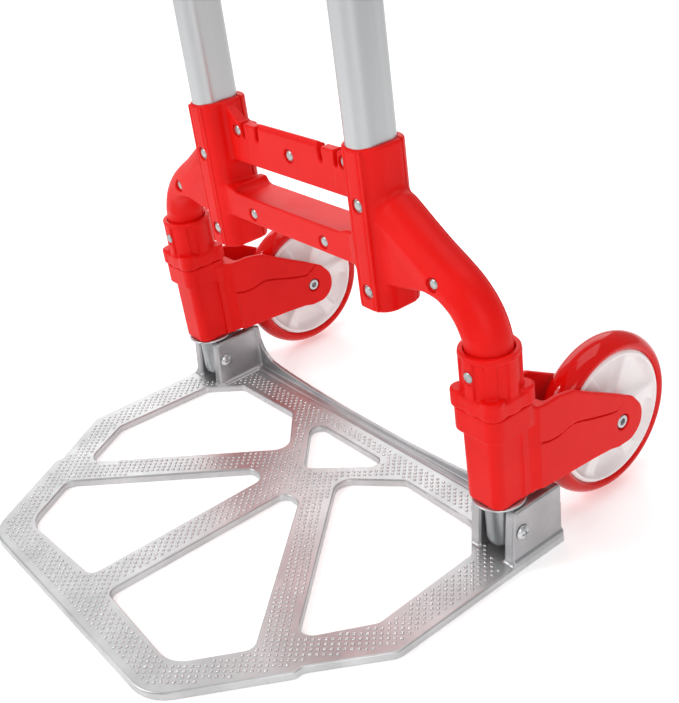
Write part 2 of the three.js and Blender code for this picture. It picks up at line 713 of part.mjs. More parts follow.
function yokeSolid() {
  const ends = [-1, 1].map((side) => {
    const x = side * TUBE_X;
    return prism("z", box2(x - 16, x + 16, 2 * TUBE_Y - YOKE_BACK, YOKE_BACK, 12),
      YOKE_LOW, YOKE_TOP, 1.2);
  });
  const bar = prism("y", rounded([
    [-80, YOKE_LOW + 3, 0], [80, YOKE_LOW + 3, 0], [80, YOKE_TOP - 4, 0], [62, YOKE_TOP - 4, 8],
    [50, YOKE_TOP - 12, 8], [-50, YOKE_TOP - 12, 8], [-62, YOKE_TOP - 4, 8], [-80, YOKE_TOP - 4, 0],
  ], 2), TUBE_Y - 11, TUBE_Y + 11, 1.5);
  const bores = [-1, 1].flatMap((side) => {
    const x = side * TUBE_X;
    const w = TUBE_W / 2 + GAP;
    const d = TUBE_D / 2 + GAP;
    const iw = INNER_W / 2 + 0.5;
    const id = INNER_D / 2 + 0.5;
    return [
      prism("z", box2(x - w, x + w, TUBE_Y - d, TUBE_Y + d, 10, 4), YOKE_LOW - 5, TUBE_TOP + GAP),
      prism("z", box2(x - iw, x + iw, TUBE_Y - id, TUBE_Y + id, 8, 4), YOKE_LOW - 5, YOKE_TOP + 5),
    ];
  });
  const screws = [-1, 1].flatMap((side) => {
    const x = side * TUBE_X;
    return [
      rod("y", x, SCREW_Z, 1.7 + GAP, TUBE_Y, TUBE_Y + 30, 8),
      rod("y", x, SCREW_Z, 4, YOKE_BACK - 1.4, YOKE_BACK + 2, 12),
    ];
  });
  return cut(join([...ends, bar]), [...bores, ...screws]);
}
addPart("top_yoke", yokeSolid(), RED);

const yokeScrew = turned("y", TUBE_X, SCREW_Z, [
  [0, TUBE_Y + TUBE_D / 2 - TUBE_WALL + 0.2],
  [1.7, TUBE_Y + TUBE_D / 2 - TUBE_WALL + 0.2],
  [1.7, YOKE_BACK - 1.4 + GAP],
  [3.6, YOKE_BACK - 1.4 + GAP],
  [3.6, YOKE_BACK - 0.4],
  [0, YOKE_BACK + 0.4],
], 12);
bothSides("yoke_screw", yokeScrew, STEEL);

// ---- telescoping handle ----
function innerTubeSolid() {
  const tube = ovalTube(INNER_LOW, GRIP_Z, INNER_W, INNER_D, 1.5, 8);
  return cut(tube, [
    rod("y", TUBE_X, PIN_Z, 4 + GAP, TUBE_Y, TUBE_Y + 20, 12),
    block(TUBE_X - 12, TUBE_X - 6, TUBE_Y - 2.6, TUBE_Y + 2.6, GRIP_Z - 5, GRIP_Z + 2),
  ]);
}
bothSides("inner_tube", innerTubeSolid(), ALU);

// Glides: plugs in the lower ends of the inner tubes that run along the outer tube walls.
function glideSolid() {
  const w = TUBE_W / 2 - TUBE_WALL - GAP;
  const d = TUBE_D / 2 - TUBE_WALL - GAP;
  const sw = INNER_W / 2 - 1.5 - GAP;
  const sd = INNER_D / 2 - 1.5 - GAP;
  const shoe = prism("z", box2(TUBE_X - w, TUBE_X + w, TUBE_Y - d, TUBE_Y + d, 8),
    INNER_LOW - 10, INNER_LOW - GAP, 0.8);
  const spigot = prism("z", box2(TUBE_X - sw, TUBE_X + sw, TUBE_Y - sd, TUBE_Y + sd, 6),
    INNER_LOW - 2, INNER_LOW + 9);
  return cut(join([shoe, spigot]), [rod("z", TUBE_X, TUBE_Y, 4, INNER_LOW - 20, INNER_LOW + 20, 12)]);
}
bothSides("glide", glideSolid(), BLACK);

// Grip: two half shells around a bar, with elbows over the inner tubes and a window for the button.
function gripBody() {
  const path = new THREE.CatmullRomCurve3([
    [TUBE_X, ELBOW_LOW], [TUBE_X, 968], [85.5, 979], [76, GRIP_Z], [60, GRIP_Z + 1],
    [-60, GRIP_Z + 1], [-76, GRIP_Z], [-85.5, 979], [-TUBE_X, 968], [-TUBE_X, ELBOW_LOW],
  ].map(([x, z]) => new THREE.Vector3(x, TUBE_Y, z)), false, "catmullrom", 0.5);
  const section = new THREE.Shape(circle(0, 0, 15, 12));
  const loop = solid(new THREE.ExtrudeGeometry(section, { steps: 18, extrudePath: path }));
  const sleeves = [-1, 1].flatMap((side) => {
    const x = side * TUBE_X;
    const w = INNER_W / 2 + GAP;
    const d = INNER_D / 2 + GAP;
    return [prism("z", box2(x - w, x + w, TUBE_Y - d, TUBE_Y + d, 8, 4), ELBOW_LOW - 5, GRIP_Z + GAP)];
  });
  const cuffs = [-1, 1].map((side) => {
    const x = side * TUBE_X;
    return prism("z", box2(x - 14, x + 14, TUBE_Y - 18, TUBE_Y + 18, 11),
      ELBOW_LOW, ELBOW_LOW + 22, 1.2);
  });
  const pocket = prism("y", box2(-26, 26, 962, GRIP_Z + 5), TUBE_Y - 7.5, TUBE_Y + 7.5);
  const gallery = block(-TUBE_X - 3, TUBE_X + 3, TUBE_Y - 4, TUBE_Y + 4, GRIP_Z - 5, GRIP_Z + 5.4);
  return cut(join([loop, ...cuffs]), [...sleeves, pocket, gallery]);
}
const grip = gripBody();
addPart("grip_front_half", grip.intersect(block(-250, 250, -120, TUBE_Y - 0.15, 900, 1100)), BLACK);
addPart("grip_back_half", grip.intersect(block(-250, 250, TUBE_Y + 0.15, 60, 900, 1100)), BLACK);

// Release button under the grip, one piece with the bar and the two rods that reach the lock pins.
const button = prism("y", box2(-25, 25, 964, GRIP_Z - 3, 3), TUBE_Y - 7, TUBE_Y + 7, 0.8);
const drawBar = prism("y", box2(-TUBE_X - 2, TUBE_X + 2, GRIP_Z - 4.4, GRIP_Z - 1.4),
  TUBE_Y - 2, TUBE_Y + 2);
const rods = [-1, 1].map((side) => rod("z", side * TUBE_X, TUBE_Y, 2, PIN_Z + 10, GRIP_Z - 2, 12));
addPart("release_button", join([button, drawBar, ...rods]), RED);

// Lock pins: drawn level with the tube wall, so that the handle can slide.
const PIN_TIP = TUBE_Y + INNER_D / 2 + 0.3;
const lockPin = turned("y", TUBE_X, PIN_Z, [
  [0, TUBE_Y - 6],
  [3, TUBE_Y - 6],
  [3, TUBE_Y + 3],
  [4, TUBE_Y + 3],
  [4, PIN_TIP - 0.8],
  [3, PIN_TIP],
  [0, PIN_TIP],
], 12);
bothSides("lock_pin", lockPin, STEEL);

export default group;
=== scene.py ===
"""Looks of the folding hand truck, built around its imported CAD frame.

Shapes are distance fields in millimetres, in the frame's own axes, with y counted so that the leg
axis is at LEG_Y. SHIFT_Y brings them back to the frame.
"""

import json
import math

import bmesh
import bpy
import numpy as np
from mathutils import Matrix, Vector


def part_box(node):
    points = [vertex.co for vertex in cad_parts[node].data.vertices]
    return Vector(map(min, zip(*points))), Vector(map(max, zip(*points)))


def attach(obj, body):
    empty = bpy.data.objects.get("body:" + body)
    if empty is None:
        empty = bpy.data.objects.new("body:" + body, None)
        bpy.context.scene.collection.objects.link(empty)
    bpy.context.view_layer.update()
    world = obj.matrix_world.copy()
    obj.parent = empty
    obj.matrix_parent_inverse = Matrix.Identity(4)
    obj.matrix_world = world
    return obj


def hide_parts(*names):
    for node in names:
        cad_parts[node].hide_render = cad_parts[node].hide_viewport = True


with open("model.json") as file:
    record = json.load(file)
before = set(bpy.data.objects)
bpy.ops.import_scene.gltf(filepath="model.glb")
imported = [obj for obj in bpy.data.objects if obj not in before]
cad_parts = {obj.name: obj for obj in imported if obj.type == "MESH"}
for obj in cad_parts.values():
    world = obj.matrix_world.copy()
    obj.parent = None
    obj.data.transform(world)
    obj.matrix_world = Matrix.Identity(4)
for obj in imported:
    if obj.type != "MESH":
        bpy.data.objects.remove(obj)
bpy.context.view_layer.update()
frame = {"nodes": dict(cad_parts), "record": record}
NODES = frame["nodes"]

# ---- places read from the frame ----


def box_mm(node):
    """Low and high corner of a CAD node's box, in millimetres."""
    low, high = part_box(node)
    return np.array(low) * 1000, np.array(high) * 1000


post_low, post_high = box_mm("leg_post_right")
LEG_X = (post_low[0] + post_high[0]) / 2
LEG_Y = -23.0
SHIFT_Y = (post_low[1] + post_high[1]) / 2 - LEG_Y
tyre_low, tyre_high = box_mm("tyre_right")
WHEEL_X = (tyre_low[0] + tyre_high[0]) / 2
AXLE_Y = (tyre_low[1] + tyre_high[1]) / 2 - SHIFT_Y
AXLE_Z = (tyre_low[2] + tyre_high[2]) / 2
WHEEL_R = (tyre_high[2] - tyre_low[2]) / 2
tube_low, tube_high = box_mm("outer_tube_right")
TUBE_X = (tube_low[0] + tube_high[0]) / 2
TUBE_Y = (tube_low[1] + tube_high[1]) / 2 - SHIFT_Y
TUBE_LOW, TUBE_TOP = tube_low[2], tube_high[2]
BAND_TOP = box_mm("wheel_fork_right")[1][2]
COLLAR_LOW, COLLAR_TOP = box_mm("collar_right")[0][2], box_mm("collar_right")[1][2]
YOKE_LOW, YOKE_TOP = box_mm("top_yoke")[0][2], box_mm("top_yoke")[1][2]
INNER_LOW = box_mm("inner_tube_right")[0][2]
GRIP_LOW, GRIP_TOP = box_mm("grip_back_half")[0][2], box_mm("grip_back_half")[1][2]
SEAM_Y = -14.0

# ---- distance fields ----


def smin(a, b, k):
    """Either of two solids, blended where their fields differ by less than k."""
    h = np.maximum(k - np.abs(a - b), 0) / k
    return np.minimum(a, b) - h * h * k * 0.25


def smax(a, b, k):
    """Both of two solids, blended in the same way."""
    return -smin(-a, -b, k)


def slab(v, low, high):
    return np.abs(v - (low + high) / 2) - (high - low) / 2


def meet(a, b, r):
    """Both of two solids, with the edge between them rounded to radius r."""
    u, w = a + r, b + r
    return np.minimum(np.maximum(u, w), 0) + np.hypot(np.maximum(u, 0), np.maximum(w, 0)) - r


def rect(a, b, a0, a1, b0, b1, r):
    u = np.abs(a - (a0 + a1) / 2) - (a1 - a0) / 2 + r
    w = np.abs(b - (b0 + b1) / 2) - (b1 - b0) / 2 + r
    return np.minimum(np.maximum(u, w), 0) + np.hypot(np.maximum(u, 0), np.maximum(w, 0)) - r


def block(x, y, z, x0, x1, y0, y1, z0, z1, r):
    return meet(rect(x, y, x0, x1, y0, y1, r), slab(z, z0, z1), r)


def polygon(a, b, outline):
    """Distance to a closed outline, negative inside it."""
    a, b = np.broadcast_arrays(a, b)
    best = np.full(a.shape, 1e12)
    outside = np.ones(a.shape, bool)
    for (x0, y0), (x1, y1) in zip(outline, [outline[-1], *outline[:-1]]):
        ex, ey = x1 - x0, y1 - y0
        wx, wy = a - x0, b - y0
        t = np.clip((wx * ex + wy * ey) / (ex * ex + ey * ey), 0, 1)
        best = np.minimum(best, (wx - ex * t) ** 2 + (wy - ey * t) ** 2)
        above, below, left = b >= y0, b < y1, ex * wy > ey * wx
        outside ^= (above & below & left) | ~(above | below | left)
    return np.where(outside, 1, -1) * np.sqrt(best)


def polyline(a, b, points):
    a, b = np.broadcast_arrays(a, b)
    best = np.full(a.shape, 1e12)
    for (x0, y0), (x1, y1) in zip(points[:-1], points[1:]):
        ex, ey = x1 - x0, y1 - y0
        t = np.clip(((a - x0) * ex + (b - y0) * ey) / (ex * ex + ey * ey), 0, 1)
        best = np.minimum(best, (a - x0 - ex * t) ** 2 + (b - y0 - ey * t) ** 2)
    return np.sqrt(best)


def smooth_path(points, steps=6):
    """Catmull-Rom curve through points."""
    p = [np.array(q, float) for q in points]
    p = [2 * p[0] - p[1], *p, 2 * p[-1] - p[-2]]
    out = []
    for i in range(1, len(p) - 2):
        for t in np.arange(steps) / steps:
            out.append(
                0.5 * (2 * p[i] + (p[i + 1] - p[i - 1]) * t
                       + (2 * p[i - 1] - 5 * p[i] + 4 * p[i + 1] - p[i + 2]) * t * t
                       + (3 * p[i] - p[i - 1] - 3 * p[i + 1] + p[i + 2]) * t ** 3)
            )
    out.append(p[-2])
    return [tuple(q) for q in out]


def rounded(corners, steps=5):
    """Round the corners of a closed outline of (a, b, radius)."""
    out = []
    n = len(corners)
    for i, (a, b, r) in enumerate(corners):
        here = np.array((a, b), float)
        if r == 0:
            out.append(tuple(here))
            continue
        u = np.array(corners[i - 1][:2], float) - here
        w = np.array(corners[(i + 1) % n][:2], float) - here
        u, w = u / np.linalg.norm(u), w / np.linalg.norm(w)
        half = math.acos(np.clip(u @ w, -1, 1)) / 2
        mid = (u + w) / np.linalg.norm(u + w)
        centre = here + mid * r / math.sin(half)
        s, e = here + u * r / math.tan(half) - centre, here + w * r / math.tan(half) - centre
        turn = math.atan2(s[0] * e[1] - s[1] * e[0], s @ e)
        for k in range(steps + 1):
            c, q = math.cos(turn * k / steps), math.sin(turn * k / steps)
            out.append((centre[0] + s[0] * c - s[1] * q, centre[1] + s[0] * q + s[1] * c))
    return out


# ---- meshes ----
COARSE = 1.0
CORNERS = np.array([(i, j, k) for i in (0, 1) for j in (0, 1) for k in (0, 1)])
EDGES = [(a, b) for a in range(8) for b in range(a + 1, 8)
         if abs(CORNERS[a] - CORNERS[b]).sum() == 1]
SETTLE_PASSES = 3


def slope(field, points, reach):
    """Gradient of a field at points, by central differences."""
    out = np.empty_like(points)
    for i in range(3):
        step = np.zeros(3)
        step[i] = reach
        out[:, i] = (field(*(points + step).T) - field(*(points - step).T)) / (2 * reach)
    return out


def surface(field, low, high, step):
    """Points, quads and normals of the surface field = 0 inside a box, by settled surface nets."""
    step = step * COARSE
    axes = [np.arange(low[i] - 1.6 * step, high[i] + 1.7 * step, step) for i in range(3)]
    x, y, z = axes[0][:, None, None], axes[1][None, :, None], axes[2][None, None, :]
    shape = tuple(len(a) for a in axes)
    values = np.broadcast_to(field(x, y, z), shape).astype(np.float32)
    inside = values < 0
    count = np.zeros([n - 1 for n in shape], np.int8)
    for i, j, k in CORNERS:
        count += inside[i:shape[0] - 1 + i, j:shape[1] - 1 + j, k:shape[2] - 1 + k]
    active = (count > 0) & (count < 8)
    cells = np.argwhere(active)
    index = np.full(active.shape, -1, np.int64)
    index[active] = np.arange(len(cells))
    at = [values[tuple((cells + c).T)] for c in CORNERS]
    total, hits = np.zeros((len(cells), 3)), np.zeros(len(cells))
    for a, b in EDGES:
        cross = (at[a] < 0) != (at[b] < 0)
        t = np.where(cross, at[a] / np.where(cross, at[a] - at[b], 1), 0)
        total += (CORNERS[a] + t[:, None] * (CORNERS[b] - CORNERS[a])) * cross[:, None]
        hits += cross
    points = (cells + total / hits[:, None]) * step + np.array([a[0] for a in axes])
    quads = []
    for axis in range(3):
        u, v = np.eye(3, dtype=int)[(axis + 1) % 3], np.eye(3, dtype=int)[(axis + 2) % 3]
        ahead = np.roll(inside, -1, axis)
        change = inside != ahead
        keep = [slice(1, n - 1) for n in shape]
        keep[axis] = slice(0, shape[axis] - 1)
        p = np.argwhere(change[tuple(keep)]) + np.array([s.start for s in keep])
        ring = np.stack([index[tuple(q.T)] for q in (p - u - v, p - v, p, p - u)], 1)
        outward = inside[tuple(p.T)]
        quads.append(np.where(outward[:, None], ring, ring[:, ::-1]))
    quads = np.concatenate(quads)
    for _ in range(SETTLE_PASSES):
        g = slope(field, points, 0.04)
        move = field(*points.T) / np.maximum((g * g).sum(1), 0.2)
        points -= np.clip(move, -step / 2, step / 2)[:, None] * g
    normals = slope(field, points, 0.12)
    normals /= np.maximum(np.linalg.norm(normals, axis=1), 1e-9)[:, None]
    return points, quads, normals


def piece(name, shape, material, body, nodes=(), mirror=False):
    """A mesh object from (points, faces, normals) in millimetres."""
    points, faces, normals = shape
    points = np.array(points, float)
    normals = None if normals is None else np.array(normals, float)
    faces = [tuple(int(i) for i in f) for f in faces]
    if mirror:
        points[:, 0] *= -1
        faces = [f[::-1] for f in faces]
        if normals is not None:
            normals[:, 0] *= -1
    points[:, 1] += SHIFT_Y
    mesh = bpy.data.meshes.new(name)
    mesh.from_pydata((points / 1000).tolist(), [], faces)
    mesh.polygons.foreach_set("use_smooth", np.ones(len(mesh.polygons), bool))
    mesh.update()
    if normals is not None:
        mesh.normals_split_custom_set_from_vertices(normals.tolist())
    obj = bpy.data.objects.new(name, mesh)
    bpy.context.scene.collection.objects.link(obj)
    mesh.materials.append(material)
    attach(obj, body)
    if nodes:
        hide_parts(*nodes)
    return obj


def both(name, shape, material, body):
    """The right-hand piece and its mirror image, which replace the CAD nodes of the same name."""
    for word, mirror in (("right", False), ("left", True)):
        owner = f"{body}_{word}" if body in ("fork", "wheel") else body
        piece(f"{name}_{word}_look", shape, material, owner, [f"{name}_{word}"], mirror)


def turned(profile, axis, a, b, steps=64):
    """Turned solid: profile of (radius, height) rows along an axis through (a, b)."""
    points, faces = [], []
    for r, h in profile:
        for i in range(steps):
            t = 2 * math.pi * i / steps
            u, w = r * math.cos(t), r * math.sin(t)
            if axis == "x":
                points.append((h, a + u, b + w))
            elif axis == "y":
                points.append((a + w, h, b + u))
            else:
                points.append((a + u, b + w, h))
    last = (len(profile) - 1) * steps
    for low in range(0, last, steps):
        for i in range(steps):
            k = (i + 1) % steps
            faces.append((low + i, low + k, low + steps + k, low + steps + i))
    if profile[0] != profile[-1]:
        faces.append(tuple(reversed(range(steps))))
        faces.append(tuple(last + i for i in range(steps)))
    return points, faces, None


def soften(obj, width):
    """Round the edges of an object's mesh by a bevel, and keep its faces flat."""
    bevel = obj.modifiers.new("bevel", "BEVEL")
    bevel.width = width / 1000
    bevel.segments = 2
    bevel.limit_method = "ANGLE"
    bevel.angle_limit = math.radians(35)
    bevel.harden_normals = True


# ---- materials ----


def tree(name):
    material = bpy.data.materials.new(name)
    material.use_nodes = True
    nodes, links = material.node_tree.nodes, material.node_tree.links
    return material, nodes, links, nodes["Principled BSDF"]


def noise(nodes, links, scale, detail, rough, stretch):
    place = nodes.new("ShaderNodeTexCoord")
    mapping = nodes.new("ShaderNodeMapping")
    mapping.inputs["Scale"].default_value = stretch
    texture = nodes.new("ShaderNodeTexNoise")
    texture.inputs["Scale"].default_value = scale
    texture.inputs["Detail"].default_value = detail
    texture.inputs["Roughness"].default_value = rough
    links.new(place.outputs["Object"], mapping.inputs["Vector"])
    links.new(mapping.outputs["Vector"], texture.inputs["Vector"])
    return texture.outputs["Fac"]


def ramp(nodes, links, source, low, high, a, b):
    node = nodes.new("ShaderNodeValToRGB")
    node.color_ramp.elements[0].position = low
    node.color_ramp.elements[1].position = high
    node.color_ramp.elements[0].color = (*a, 1)
    node.color_ramp.elements[1].color = (*b, 1)
    links.new(source, node.inputs["Fac"])
    return node.outputs["Color"]


def spread(nodes, links, source, low, high):
    node = nodes.new("ShaderNodeMapRange")
    node.inputs["To Min"].default_value = low
    node.inputs["To Max"].default_value = high
    links.new(source, node.inputs["Value"])
    return node.outputs["Result"]


def finish_look(name, colours, rough, grain, metal=0.0, cloud=18.0, stretch=(1, 1, 1),
                specular=0.5):
    """Clouds of two tones, a range of roughness, and a grain of (scale, depth in mm, detail)."""
    material, nodes, links, shader = tree(name)
    shader.inputs["Metallic"].default_value = metal
    shader.inputs["Specular IOR Level"].default_value = specular
    soft = noise(nodes, links, cloud, 4.0, 0.6, stretch)
    links.new(ramp(nodes, links, soft, 0.35, 0.68, *colours), shader.inputs["Base Color"])
    patchy = noise(nodes, links, cloud * 3.1, 3.0, 0.55, stretch)
    links.new(spread(nodes, links, patchy, *rough), shader.inputs["Roughness"])
    scale, depth, detail = grain
    fine = noise(nodes, links, scale, detail, 0.6, stretch)
    bump = nodes.new("ShaderNodeBump")
    bump.inputs["Strength"].default_value = 1.0
    bump.inputs["Distance"].default_value = depth / 1000
    links.new(fine, bump.inputs["Height"])
    links.new(bump.outputs["Normal"], shader.inputs["Normal"])
    return material


RED = finish_look("red_nylon", [(0.72, 0.0045, 0.0032), (0.80, 0.0070, 0.0050)], (0.34, 0.50),
                  (1500.0, 0.035, 2.0), specular=0.15)
TYRE = finish_look("red_polyurethane", [(0.62, 0.0035, 0.0025), (0.72, 0.006, 0.004)],
                   (0.05, 0.10), (700.0, 0.004, 1.0), specular=0.26)
RIM = finish_look("white_rim", [(0.93, 0.89, 0.89), (0.97, 0.94, 0.94)], (0.26, 0.40),
                  (900.0, 0.01, 1.0), specular=0.35)
# One casting in two copies. This copy is painted darker than the deck's copy: painted shade on the
# brackets' upright faces and the other cast parts.
CAST = finish_look("silver_casting", [(0.38, 0.385, 0.395), (0.48, 0.485, 0.495)], (0.32, 0.46),
                   (800.0, 0.03, 4.0), metal=0.85, cloud=26.0)
# The deck's copy of the same casting, painted lighter than the brackets' copy: a painted
# reflection of the lamps on the up-facing deck.
DECK = finish_look("deck_casting_painted_light", [(0.48, 0.485, 0.49), (0.59, 0.595, 0.60)], (0.30, 0.44),
                   (800.0, 0.03, 4.0), metal=0.85, cloud=26.0)
# Studs: smoother than the casting, and painted lighter than it. The lighter colour is a painted
# highlight on each dome.
STUD = finish_look("stud_casting_painted_highlight", [(0.58, 0.58, 0.585), (0.70, 0.70, 0.705)], (0.18, 0.30),
                   (900.0, 0.01, 2.0), metal=0.85, cloud=50.0)
STEEL = finish_look("zinc_steel", [(0.50, 0.52, 0.53), (0.66, 0.68, 0.69)], (0.22, 0.42),
                    (1400.0, 0.012, 3.0), metal=0.9, cloud=60.0)
# Leg posts, painted much darker than the other steel: painted shade for the dark gap between the
# cheeks around the post.
POST = finish_look("grey_post_painted_shade", [(0.26, 0.275, 0.285), (0.42, 0.44, 0.445)], (0.26, 0.40),
                   (900.0, 0.02, 3.0), metal=0.85, cloud=70.0, stretch=(1, 1, 0.3))
TUBE = finish_look("satin_aluminium", [(0.47, 0.485, 0.495), (0.56, 0.57, 0.575)], (0.30, 0.42),
                   (2600.0, 0.010, 2.0), metal=0.8, cloud=40.0, stretch=(1, 1, 0.02))
RIVET = finish_look("rivet_aluminium", [(0.38, 0.40, 0.40), (0.50, 0.51, 0.51)], (0.26, 0.40),
                    (900.0, 0.01, 2.0), metal=0.8, cloud=120.0)
BLACK = finish_look("black_grip", [(0.010, 0.010, 0.011), (0.020, 0.020, 0.021)], (0.55, 0.75),
                    (1300.0, 0.07, 3.0))

LOOK_BY_SLOT = {
    "red_plastic": RED, "grip_plastic": BLACK, "tyre_rubber": TYRE, "rim_plastic": RIM,
    "cast_alloy": CAST, "steel": STEEL, "tube_aluminium": TUBE, "rivet_aluminium": RIVET,
}
for entry in frame["record"]["subparts"]:
    kept = NODES[entry["node"]]
    kept.data.materials.clear()
    kept.data.materials.append(LOOK_BY_SLOT[entry["material_slot"]])

# ---- cross frame: two shells parted at SEAM_Y ----
SEAM_GAP = 0.2
ARM_R = 15.5
ARM_PATH = smooth_path([
    (104, 231), (109, 227.5), (122, 218), (135, 209), (148, 201), (160, 192.5),
    (169.5, 182), (175, 171), (LEG_X, 160), (LEG_X, 142), (LEG_X, 100),
], 4)
SOCKET = (73, 104.6, -43.4, -5.5, 166, 277.5)
STRIP_GROOVES = (83.9, 96.1)
# Per rivet: x, z, the y of the face that it is sunk in, and the depth of its shank.
RIVETS = {
    "strip_upper": (90, 239.9, -44.4, 3.1),
    "strip_lower": (90, 180.4, -44.4, 3.1),
    "web": (147.7, 200.4, -38.6, 20),
    "lower_bar": (41.6, 201.1, -39.6, 30),
    "gusset": (61.5, 258, -29.3, 10),
    "centre": (0, 250.4, -29.3, 10),
    "collar": (LEG_X, 148, LEG_Y - 20.6, 12),
}
WEB = rounded([
    (92, 236, 0), (92, 186, 0), (112, 187.5, 4), (137, 192, 12), (151, 191.6, 12), (164, 184, 8),
    (170, 172, 0), (178, 172, 0), (170, 190, 0), (148, 204, 0), (120, 222, 0),
])
GUSSET = rounded([
    (50, 237, 0), (77, 237, 0), (77, 275.5, 0), (72.5, 275.5, 1.5), (57.5, 264.8, 1.5),
    (50, 264.5, 0),
])
RAIL = rounded([
    (-28.0, 256, 0), (-21.5, 256, 0), (-21.5, 263, 1.2), (-26, 266.8, 1.2), (-28.0, 266.8, 0.9),
])
SLOTS = ((37, -0.09), (53, 0.09))
SLOT_FOOT = 253.6


def hole(a, b, u, w, r):
    """Round bore of radius r through (u, w)."""
    return np.hypot(a - u, b - w) - r


def carve(body, tool, r=0.6):
    return smax(body, -tool, r)


def recesses(body, ax, y, z, names):
    """The body with the pits that its rivets sit in."""
    for name in names:
        x0, z0, face, _ = RIVETS[name]
        pit = meet(hole(ax, z, x0, z0, 4.8), slab(y, face - 8, face + 1.6), 0.3)
        body = carve(body, pit, 0.6)
    return body


def throat(ax, y, z):
    """Bore for a tube, a little inside the tube's own wall, so that no gap shows."""
    bore = rect(ax, y, TUBE_X - 11.3, TUBE_X + 11.3, TUBE_Y - 15.8, TUBE_Y + 15.8, 9.3)
    return smax(bore, TUBE_LOW - 0.3 - z, 0.3)


def side_mass(ax, y, z):
    """Socket, web and arm of one side, with ax counted outwards."""
    x0, x1, y0, y1, z0, z1 = SOCKET
    section = np.maximum(rect(ax, y, x0, x1, y0, y1, 11), rect(ax, y, x0 - 20, x1, y0, y1, 13))
    socket = meet(section, slab(z, z0, z1), 2.2)
    strip = meet(rect(ax, y, 81.5, 98.5, y0 - 1, -30, 1.2), slab(z, z0 + 1.5, z1 - 1.5), 1.0)
    socket = smin(socket, strip, 1.2)
    for groove in STRIP_GROOVES:
        socket = carve(socket, hole(ax, y, groove, -45.0, 1.25), 0.8)
    web = meet(polygon(ax, z, WEB), slab(y, -38.6, -9), 2.5)
    arm = np.hypot(polyline(ax, z, ARM_PATH), y - LEG_Y) - ARM_R
    arm = smax(arm, 126.3 - z, 0.8)
    whole = smin(smin(socket, web, 3.5), arm, 4.5)
    return smax(whole, -throat(ax, y, z), 0.9)


def front_bars(ax, y, z):
    """Upper bar with its rail, gussets and slots, and the lower bar with its basin."""
    upper = meet(rect(ax, z, -80, 76, 234, 264.5, 1.5), slab(y, -29.3, -21.5), 1.3)
    rail = meet(polygon(y, z, RAIL), slab(ax, -34.5, 34.5), 1.0)
    gusset = meet(polygon(ax, z, GUSSET), slab(y, -29.3, -21.5), 1.0)
    top = smin(smin(upper, gusset, 0.8), rail, 0.8)
    for x0, lean in SLOTS:
        slot = meet(slab(ax - (z - 254) * lean, x0 - 1.9, x0 + 1.9), SLOT_FOOT - z, 1.5)
        top = carve(top, slot, 1.2)
    lower = meet(rect(y, z, -39.6, -6.8, 193.2, 216.5, 2.0), slab(ax, -80, 80), 1.2)
    basin = meet(rect(ax, z, -66, 66, 211.4 - (y + 36) * 0.03, 250, 7), -36.2 - y, 1.5)
    lower = carve(lower, basin, 1.4)
    lip = z - 213.6 - np.maximum(ax - 60, 0) * 0.35
    lower = smax(lower, np.minimum(lip, -(y + 34)), 1.0)
    return np.minimum(top, lower)


def front_shell(x, y, z):
    ax = np.abs(x)
    sides = smax(side_mass(ax, y, z), y - (SEAM_Y - SEAM_GAP), 1.1)
    bars = front_bars(ax, y, z)
    bars = np.maximum(bars, ax - 80)
    whole = smax(smin(sides, bars, 4), -throat(ax, y, z), 0.9)
    whole = smax(whole, -smax(SEAM_Y - SEAM_GAP - y, 72.6 - ax, 0.3), 0.4)
    return recesses(whole, ax, y, z, [name for name in RIVETS if name != "collar"])


def back_shell(x, y, z):
    ax = np.abs(x)
    sides = smax(side_mass(ax, y, z), (SEAM_Y + SEAM_GAP) - y, 1.1)
    upper = block(ax, y, z, -80, 78, -21.2, -17.8, 238, 257, 1.2)
    lower = block(ax, y, z, -80, 78, -6.5, -3.4, 195, 208, 1.2)
    ties = block(ax, y, z, 69, 80, -20.5, -6, 238, 257, 1.2)
    feet = block(ax, y, z, 69, 80, -6.4, -3.4, 195, 208, 1.0)
    whole = smin(smin(sides, np.minimum(upper, lower), 2), np.minimum(ties, feet), 2)
    return smax(whole, -throat(ax, y, z), 0.9)


frame_low, frame_high = box_mm("frame_front_shell")
LOW_Z, HIGH_Z = frame_low[2], frame_high[2]
SIDE = frame_high[0]
piece("frame_front_look", surface(front_shell, (-SIDE, -45, LOW_Z), (SIDE, -6, HIGH_Z), 0.9),
      RED, "frame", ["frame_front_shell"])
piece("frame_back_look", surface(back_shell, (-SIDE, -22, LOW_Z), (SIDE, -3, HIGH_Z), 0.9),
      RED, "frame", ["frame_back_shell"])

# ---- collars ----
COLLAR_HALF = 21
FLUTES = 8


